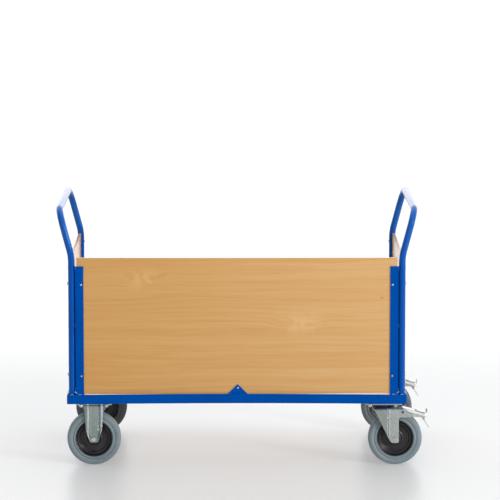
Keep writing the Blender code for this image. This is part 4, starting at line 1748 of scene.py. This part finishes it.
@dataclass
class BrakePedal:
    """The wheel brake: a channel-shaped pedal on two rivets, a release tab, a step plate and a block."""

    name: str
    axle: Vector
    start: float = 0.0245
    end: float = 0.1180
    top_at_start: float = 0.1155
    slope: float = -0.2500
    half_width: float = 0.0304  # to the outer edge of the skirts
    wall: float = 0.0024
    cheek_face: float = 0.0284
    fork_face: float = 0.0345
    pivot: Point = (0.0280, 0.0994)
    nose: Point = (0.1060, 0.0745)

    @property
    def body(self) -> str:
        """The moving body."""
        return f"{self.name}_pedal"

    def top(self, x: float) -> float:
        """Height of the pedal's upper side above the axle."""
        return self.top_at_start + self.slope * (x - self.start)

    def section(self, x: float) -> tuple[float, float, float, float]:
        """Half the web's width, the skirt's ridge, and its drop and reach outwards, at one place.

        Args:
            x: distance from the axle.

        Returns:
            The four lengths.
        """
        wide = 0.0250 - 0.0030 * smooth_step(x, self.end - 0.011, self.end)
        ridge = self.top(x) - 0.0048 + 0.0024 * smooth_step(x, 0.030, 0.055)
        skirt = 0.0014 + 0.0042 * smooth_step(x, 0.0285, 0.060) + 0.0020 * smooth_step(x, 0.060, 0.103)
        flare = 0.0006 + (self.half_width - 0.0256) * smooth_step(x, 0.0285, 0.055)
        return wide, ridge, skirt, flare

    def channel(self) -> bmesh.types.BMesh:
        """The pedal's sheet: a web that steps down at both sides into a sloping skirt.

        Returns:
            The mesh, about the axle.
        """
        shape = bmesh.new()
        rings = []
        for share in (0.0, 0.012, 0.03, 0.08, 0.2, 0.4, 0.6, 0.8, 0.92, 0.97, 0.99, 1.0):
            x = self.start + (self.end - self.start) * share
            wide, ridge, skirt, flare = self.section(x)
            curl = 0.0024 * (1 - smooth_step(share, 0.0, 0.03)) + 0.0016 * smooth_step(share, 0.97, 1.0)
            top = self.top(x) - curl
            dip = 0.0011 * smooth_step(share, 0.02, 0.1) * smooth_step(share, 1.0, 0.95)
            lip = wide - 0.0032
            groove = [(-lip, top, 0), (-lip + 0.0012, top - dip, 0), (-lip + 0.0040, top - dip * 0.3, 0)]
            groove += [(-y, z, r) for y, z, r in reversed(groove)]
            side = [(-wide - flare, ridge - curl - skirt, 0.0), (-wide, ridge - curl, 0.0008)]
            side.append((-wide, top, 0.0016))
            outer = soften([*side, *groove, *((-y, z, r) for y, z, r in reversed(side))], 5, closed=False)
            inner = [(y * (wide - self.wall) / wide, z - self.wall * 0.9) for y, z in reversed(outer)]
            rings.append([shape.verts.new((x, y, z)) for y, z in [*outer, *inner]])
        bridge_rings(shape, rings)
        for ring in (rings[0], rings[-1]):
            half = len(ring) // 2
            outer, inner = ring[:half], ring[half:][::-1]
            for k in range(half - 1):
                shape.faces.new([outer[k], outer[k + 1], inner[k + 1], inner[k]])
        return shape

    def lips(self) -> bmesh.types.BMesh:
        """Thin strips over the faces of the two skirts, in a pale zinc that paints a highlight on them.

        Returns:
            The mesh, about the axle.
        """
        shapes = []
        start, end, steps = 0.0300, self.end - 0.0006, 24
        for turn in Side:
            shape = bmesh.new()
            rings = []
            for k in range(steps + 1):
                x = start + (end - start) * k / steps
                wide, ridge, skirt, flare = self.section(x)
                ridge -= 0.0016 * smooth_step(x, self.end - 0.0030, self.end)
                high = (-wide - 0.0002, ridge + 0.0005)
                low = (-wide - flare - 0.0002, ridge - skirt + 0.0001)
                ring = [high, low, (low[0] + 0.0002, low[1] - 0.0009), (high[0] + 0.0006, high[1] - 0.0010)]
                rings.append([shape.verts.new((x, y, z)) for y, z in ring])
            bridge_rings(shape, rings)
            cap_ends(shape, rings)
            shapes.append(moved(shape, mirrored(turn)))
        return joined(shapes)

    def cheeks(self) -> list[bmesh.types.BMesh]:
        """The two inner cheeks that reach down to the pivot.

        Returns:
            Their meshes, about the axle.
        """
        under = 0.0060
        outline = soften(
            [
                (0.0305, self.top(0.0305) - under, 0), (0.0215, 0.1010, 0.004), (0.0240, 0.0905, 0.005),
                (0.0480, 0.0812, 0.006), (0.0960, 0.0802, 0.006), (0.1010, 0.0700, 0.004),
                (0.1110, 0.0690, 0.004), (0.1100, self.top(0.1100) - under, 0.0),
            ]
        )
        shapes = []
        for turn in Side:
            sheet = pressed_sheet(outline, [], self.wall)
            shapes.append(moved(sheet, mirrored(turn) @ by(0, -self.cheek_face, 0)))
        return shapes

    def tab(self) -> bmesh.types.BMesh:
        """The release tab: a plate with a raised boss, turned up at its end.

        Returns:
            The mesh, about the axle.
        """
        start, bend, end, thickness, half = 0.0760, 0.1160, 0.1206, 0.0026, 0.0220
        low, high = self.top(start) + 0.0004, 0.1086
        elbow = self.top(bend) + 0.0004
        corners = [(start, low, 0), (bend + 0.0022, elbow, 0.0030), (end, high, 0.0008)]
        corners += [(end - thickness, high, 0.0008), (bend - 0.0006, elbow + thickness, 0.0012)]
        corners.append((start, low + thickness, 0))
        plate = pressed_sheet(soften(corners, 3), [], 2 * half)
        dome = [(0, 0.0), (0.0088, 0.0), (0.0084, 0.0020), (0.0066, 0.0032), (0.0034, 0.0038), (0, 0.0040)]
        tilt = Matrix.Rotation(-math.atan(self.slope), 4, "Y")
        spot = by(0.0840, -0.0090, self.top(0.0840) + 0.0018)
        boss = moved(lathe(dome, 32, Turn.UPRIGHT), spot @ tilt)
        return joined([moved(plate, by(0, -half, 0)), boss])

    def step(self) -> bmesh.types.BMesh:
        """The step plate below the nose, sloping down, with two pressed ribs.

        Returns:
            The mesh, about the axle.
        """
        high, low = (0.0935, 0.0860), (0.1250, 0.0395)
        run = Vector(low) - Vector(high)
        length = run.length

        def rise(x: float, z: float) -> float:
            """Two ribs along the plate."""
            ribs = sum(1 - smooth_step(abs(x - c), 0.0012, 0.0034) for c in (-0.011, 0.011))
            return 0.0010 * ribs * smooth_step(z, 0.006, 0.012)

        half = 0.0258
        outline = soften([(-half, 0, 0.002), (half, 0, 0.002), (half, length, 0.006), (-half, length, 0.006)])
        grid = [(-0.024 + 0.0016 * i, 0.004 * k) for i in range(31) for k in range(1, 14)]
        plate = pressed_sheet(outline, [], 0.0026, grid, rise)
        lean = Matrix.Rotation(math.atan2(run.x, run.y), 4, "Y")
        return moved(plate, by(high[0], 0, high[1]) @ lean @ turned(90, "Z"))

    def rivets(self, place: Matrix, side: Side) -> None:
        """Makes the hollow pivot rivet, with a dark cap of painted shade in its bore, and the nose rivet of
        one side.

        Args:
            place: the move to the axle.
            side: the side.
        """
        ring = [(0.0032, -0.0002), (0.0062, -0.0002), (0.0062, -0.0010), (0.0054, -0.0020), (0.0042, -0.0022)]
        ring.append((0.0032, -0.0012))
        # painted shade: a dark cap that stands for the shadow inside the bore
        bore_shade_cap = [(0, -0.0001), (0.0034, -0.0001), (0.0034, -0.0005), (0.0016, -0.0008), (0, -0.0008)]
        dome = [(0, 0), (0.0042, 0), (0.0038, -0.0014), (0.0022, -0.0022), (0, -0.0025)]
        on_fork = place @ by(self.pivot[0], 0, self.pivot[1]) @ mirrored(side) @ by(0, -self.fork_face, 0)
        on_nose = place @ by(self.nose[0], 0, self.nose[1]) @ mirrored(side) @ by(0, -self.cheek_face, 0)
        for part, shape, steel, spot in (
            ("pivot_rivet", lathe(ring, 32, closed=True), ZINC_BRIGHT, on_fork),
            ("pivot_bore", lathe(bore_shade_cap, 20), RACE_PAINTED_SHADE, on_fork),
            ("nose_rivet", lathe(dome, 24), ZINC_BRIGHT, on_nose),
        ):
            settle(f"{self.name}_{part}_{side.word}", shape, steel, self.body, place=spot)

    def build(self) -> None:
        """Makes the pedal and everything that tips with it."""
        place = Matrix.Translation(self.axle)
        pedal = joined([self.channel(), *self.cheeks()])
        node = f"{self.name}_pedal"
        settle(f"{self.name}_pedal_channel", pedal, ZINC_PEDAL, self.body, (node,), 0.0003, 40, place)
        # strips with a painted highlight over the skirts
        settle(f"{self.name}_pedal_lips", self.lips(), ZINC_PAINTED_HIGHLIGHT, self.body, place=place)
        for part, shape, word in (("tab", self.tab(), "release_tab"), ("step", self.step(), "step_plate")):
            node = f"{self.name}_{word}"
            settle(f"{self.name}_{part}", shape, ZINC_PEDAL, self.body, (node,), 0.0004, 40, place)
        keep_node(f"{self.name}_brake_shoe", BRAKE_PAD, 0.0006)
        for side in Side:
            self.rivets(place, side)


@dataclass
class SwivelCaster:
    """A swivel caster with a wheel brake: plate, ball race, pressed fork, axle, wheel and pedal."""

    side: Side
    offset: float = 0.043  # from the swivel's axis to the axle
    wall: float = 0.0034
    leg_face: float = 0.0345
    crown_top: float = 0.1134  # above the axle

    @property
    def name(self) -> str:
        """The caster's name in the model."""
        return f"{self.side.word}_right"

    def outline(self) -> list[Point]:
        """The fork leg's edge about the axle, with the arm that carries the pedal.

        Returns:
            The outline's points.
        """
        return soften(
            [
                (-0.0860, 0.1132, 0.003), (-0.0745, 0.1030, 0.010), (-0.0235, -0.0030, 0.014),
                (-0.0130, -0.0163, 0.008), (0.0135, -0.0163, 0.006), (0.0130, 0.0795, 0.006),
                (0.0640, 0.0800, 0.003), (0.0640, 0.0915, 0.003), (0.0300, 0.1085, 0.006),
                (0.0262, 0.1132, 0.001),
            ],
            5,
        )

    @staticmethod
    def rise(x: float, z: float) -> float:
        """The leg's relief: its back part stands proud up to a bend, and the top edge rolls over.

        Args:
            x: place across the leg, from the axle.
            z: height above the axle.

        Returns:
            How far the outer face comes forward.
        """
        proud = 0.0068 * (1 - smooth_step(x, -0.0315, -0.0205))
        proud += 0.0022 * (1 - smooth_step(x, -0.054, -0.030))
        over = max(0.0, z - 0.1096) / 0.0037
        roll = 0.0036 * (1 - math.sqrt(max(0.0, 1 - min(1.0, over) ** 2)))
        dimple = 0.0008 * (1 - smooth_step(math.hypot(x + 0.0030, z - 0.0540), 0.0010, 0.0044))
        return proud * smooth_step(z, -0.006, 0.020) - roll + dimple

    @staticmethod
    def spread() -> list[Point]:
        """Points along the bend, round the dimple and along the rolled edge.

        Returns:
            The points.
        """
        columns = [-0.082 + 0.006 * k for k in range(5)] + [-0.054 + 0.004 * k for k in range(6)]
        columns += [-0.0315 + 0.00157 * k for k in range(8)] + [-0.016 + 0.007 * k for k in range(12)]
        rows = [-0.012 + 0.006 * k for k in range(20)] + [0.1096, 0.1106, 0.1115, 0.1122, 0.1128]
        points = [(x, z) for x in columns for z in rows]
        for radius in (0.0012, 0.0023, 0.0034, 0.0045):
            points += ring_outline(radius, 12, (-0.0030, 0.0540))
        return points

    def fork(self) -> bmesh.types.BMesh:
        """Both legs and the crown over the wheel.

        Returns:
            The mesh, about the axle.
        """
        holes = [ring_outline(AXLE_HOLE, 20), ring_outline(0.0054, 20, BrakePedal.pivot)]
        parts = []
        for turn in Side:
            leg = pressed_sheet(self.outline(), holes, self.wall, self.spread(), self.rise)
            parts.append(moved(leg, mirrored(turn) @ by(0, -self.leg_face, 0)))
        edge = [(x / 1000, -0.0313 - self.rise(x / 1000, 0.1)) for x in range(-84, 27, 3)]
        crown = pressed_sheet([*edge, *((x, -y) for x, y in reversed(edge))], [], 0.0036)
        parts.append(moved(crown, by(0, 0, self.crown_top) @ laid_flat()))
        return joined(parts)

    def lower_race(self) -> bmesh.types.BMesh:
        """The lower half of the ball race, on the crown.

        Returns:
            The mesh, about the axle.
        """
        race = [
            (0.0120, self.crown_top), (0.0200, 0.1170), (0.0330, 0.1176), (0.0392, 0.1166), (0.0412, 0.1146),
            (0.0416, 0.1118), (0.0404, 0.1086), (0.0372, 0.1068), (0.0300, 0.1080),
        ]
        return moved(lathe(race, 72, Turn.UPRIGHT, closed=True), by(-self.offset, 0, 0))

    def head(self) -> bmesh.types.BMesh:
        """The mounting plate with its raised boss."""
        boss = [(0.0, -0.0020), (0.0350, -0.0034), (0.0368, -0.0050), (0.0360, -0.0062), (0.0, -0.0062)]
        return joined([plate_with_slots(), lathe(boss, 72, Turn.UPRIGHT)])

    @staticmethod
    def cup() -> bmesh.types.BMesh:
        """The upper half of the ball race, below the plate.

        Returns:
            The mesh, about the plate's upper side.
        """
        profile = [
            (0.0, -0.0050), (0.0300, -0.0050), (0.0334, -0.0070), (0.0346, -0.0100), (0.0340, -0.0128),
            (0.0310, -0.0142), (0.0100, -0.0142), (0.0, -0.0142),
        ]
        return lathe(profile, 72, Turn.UPRIGHT)

    def build(self) -> None:
        """Makes the whole caster."""
        wheel = Wheel(self.name, f"{self.name}_wheel")
        centre = wheel.centre()
        turning = f"{self.name}_swivel"
        pivot = Vector((centre.x - self.offset, centre.y, PLATE_TOP))
        place, node = Matrix.Translation(pivot), f"{self.name}_top_plate"
        settle(f"{self.name}_head_plate", self.head(), ZINC, "chassis", (node,), 0.0005, 40, place)
        # the upper race is painted dark blue: painted shade under the plate
        settle(f"{self.name}_upper_race", self.cup(), RACE_PAINTED_SHADE, "chassis", place=place)
        keep_node(f"{self.name}_kingpin", ZINC_BRIGHT, 0.0005)
        # painted light and shade on the fork: a darker tone over its back part and painted shade along its
        # bend
        folds = (
            PaintedBand(centre.x - 0.1000, centre.x - 0.0400, (0.395, 0.430, 0.400), 0.001, 0.012),
            PaintedBand(centre.x - 0.0300, centre.x - 0.0225, (0.330, 0.365, 0.365), 0.0110, 0.0024),
        )
        steel = ZincPlate("zinc_pressed_fork", folds=folds)
        place, node = Matrix.Translation(centre), f"{self.name}_fork"
        settle(f"{self.name}_pressed_fork", self.fork(), steel, turning, (node,), 0.0006, 40, place)
        # the lower race is painted dark blue: painted shade
        settle(f"{self.name}_lower_race", self.lower_race(), RACE_PAINTED_SHADE, turning, place=place)
        Axle(self.name, turning, self.side, centre, self.leg_face + 0.0001).build()
        plate_nuts(self.name, pivot.x - 0.004, pivot.y)
        BrakePedal(self.name, centre).build()
        wheel.build()


# ---- studio ---------------------------------------------------------------------------------------
@dataclass
class Studio:
    """The pale floor, soft lights and the camera."""

    layout: Layout
    floor_radius: float = 60.0
    front_sky: float = 0.24  # strength of the surroundings before and behind the trolley
    back_sky: float = 1.5
    lens: float = 229.13
    stand: tuple[float, float, float] = (-0.01044, -12.02682, 2.2932)  # the camera, from the trolley's middle
    look_down: float = 0.12674  # the camera's turns, in radians
    look_right: float = 0.00506

    def floor(self) -> None:
        """Makes the floor."""
        shape = bmesh.new()
        rings = []
        for radius in (0.0, 1.0, 2.5, 6.0, 15.0, self.floor_radius):
            outline = ring_outline(radius, 72) if radius else [(0.0, 0.0)]
            rings.append([shape.verts.new((x, y, 0)) for x, y in outline])
        bridge_rings(shape, rings)
        bmesh.ops.recalc_face_normals(shape, faces=shape.faces)
        for face in shape.faces:
            if face.normal.z < 0:
                face.normal_flip()
        mesh = bpy.data.meshes.new("studio_floor")
        shape.to_mesh(mesh)
        shape.free()
        mesh.materials.append(FLOOR_PAPER.material())
        ground = bpy.data.objects.new("studio_floor", mesh)
        ground.location.z = -0.0002
        bpy.context.scene.collection.objects.link(ground)

    def sky(self) -> None:
        """Makes the white surroundings, brighter behind the trolley than in front of it."""
        world = bpy.data.worlds.new("studio")
        bpy.context.scene.world = world
        world.use_nodes = True
        tree = world.node_tree
        base = tree.nodes["Background"]
        spot = tree.nodes.new("ShaderNodeTexCoord")
        split = tree.nodes.new("ShaderNodeSeparateXYZ")
        tree.links.new(spot.outputs["Generated"], split.inputs[0])
        reach = tree.nodes.new("ShaderNodeMapRange")
        reach.interpolation_type = "SMOOTHSTEP"
        tree.links.new(split.outputs["Y"], reach.inputs["Value"])
        numbers = {"From Min": -0.25, "From Max": 0.75, "To Min": self.front_sky, "To Max": self.back_sky}
        for name, number in numbers.items():
            reach.inputs[name].default_value = number
        tree.links.new(reach.outputs["Result"], base.inputs["Strength"])
        base.inputs["Color"].default_value = (1, 1, 1, 1)

    def lamp(self, name: str, place: Vector, target: Vector, size: Point, power: float) -> None:
        """Adds one softbox.

        Args:
            name: its name.
            place: where it stands.
            target: what it faces.
            size: its width and height.
            power: its strength in watts.
        """
        light = bpy.data.lights.new(name, "AREA")
        light.shape = "RECTANGLE"
        light.size, light.size_y = size
        light.energy = power
        made = bpy.data.objects.new(name, light)
        made.location = place
        made.rotation_mode = "QUATERNION"
        made.rotation_quaternion = (target - place).to_track_quat("-Z", "Y")
        bpy.context.scene.collection.objects.link(made)

    def camera(self) -> None:
        """Sets the camera in front of the trolley, a little above it, with a long lens."""
        data = bpy.data.cameras.new("camera")
        data.sensor_width = 36.0
        data.lens = self.lens
        data.clip_start, data.clip_end = 0.5, 200.0
        made = bpy.data.objects.new("camera", data)
        made.location = (self.layout.centre + self.stand[0], self.stand[1], self.stand[2])
        made.rotation_euler = (math.pi / 2 - self.look_down, 0.0, -self.look_right)
        bpy.context.scene.collection.objects.link(made)
        bpy.context.scene.camera = made

    def build(self) -> None:
        """Makes the floor, the lights and the camera."""
        self.floor()
        self.sky()
        middle = Vector((self.layout.centre, 0, 0.5))
        self.lamp("key_right", Vector((7.8, -6.4, 3.2)), middle, (2.0, 2.6), 580)
        self.lamp("front_left", Vector((-2.4, -7.2, 2.2)), middle, (1.2, 1.5), 26)
        self.lamp("top_soft", Vector((0.3, -0.9, 5.0)), middle, (3.6, 5.6), 94)
        self.camera()
        bpy.context.scene.view_settings.view_transform = "Standard"


def main() -> None:
    """Builds the trolley's looks and its studio."""
    logging.basicConfig(level=logging.INFO, format="%(message)s")
    layout = Layout.read()
    ring = FrameRing(layout)
    ring.build()
    ring.welds()
    for end in End:
        PushBar(layout, end).build()
    Walls(layout).build()
    for side in Side:
        FixedCaster(side).build()
        SwivelCaster(side).build()
    Studio(layout).build()


if __name__ == "__main__":
    main()
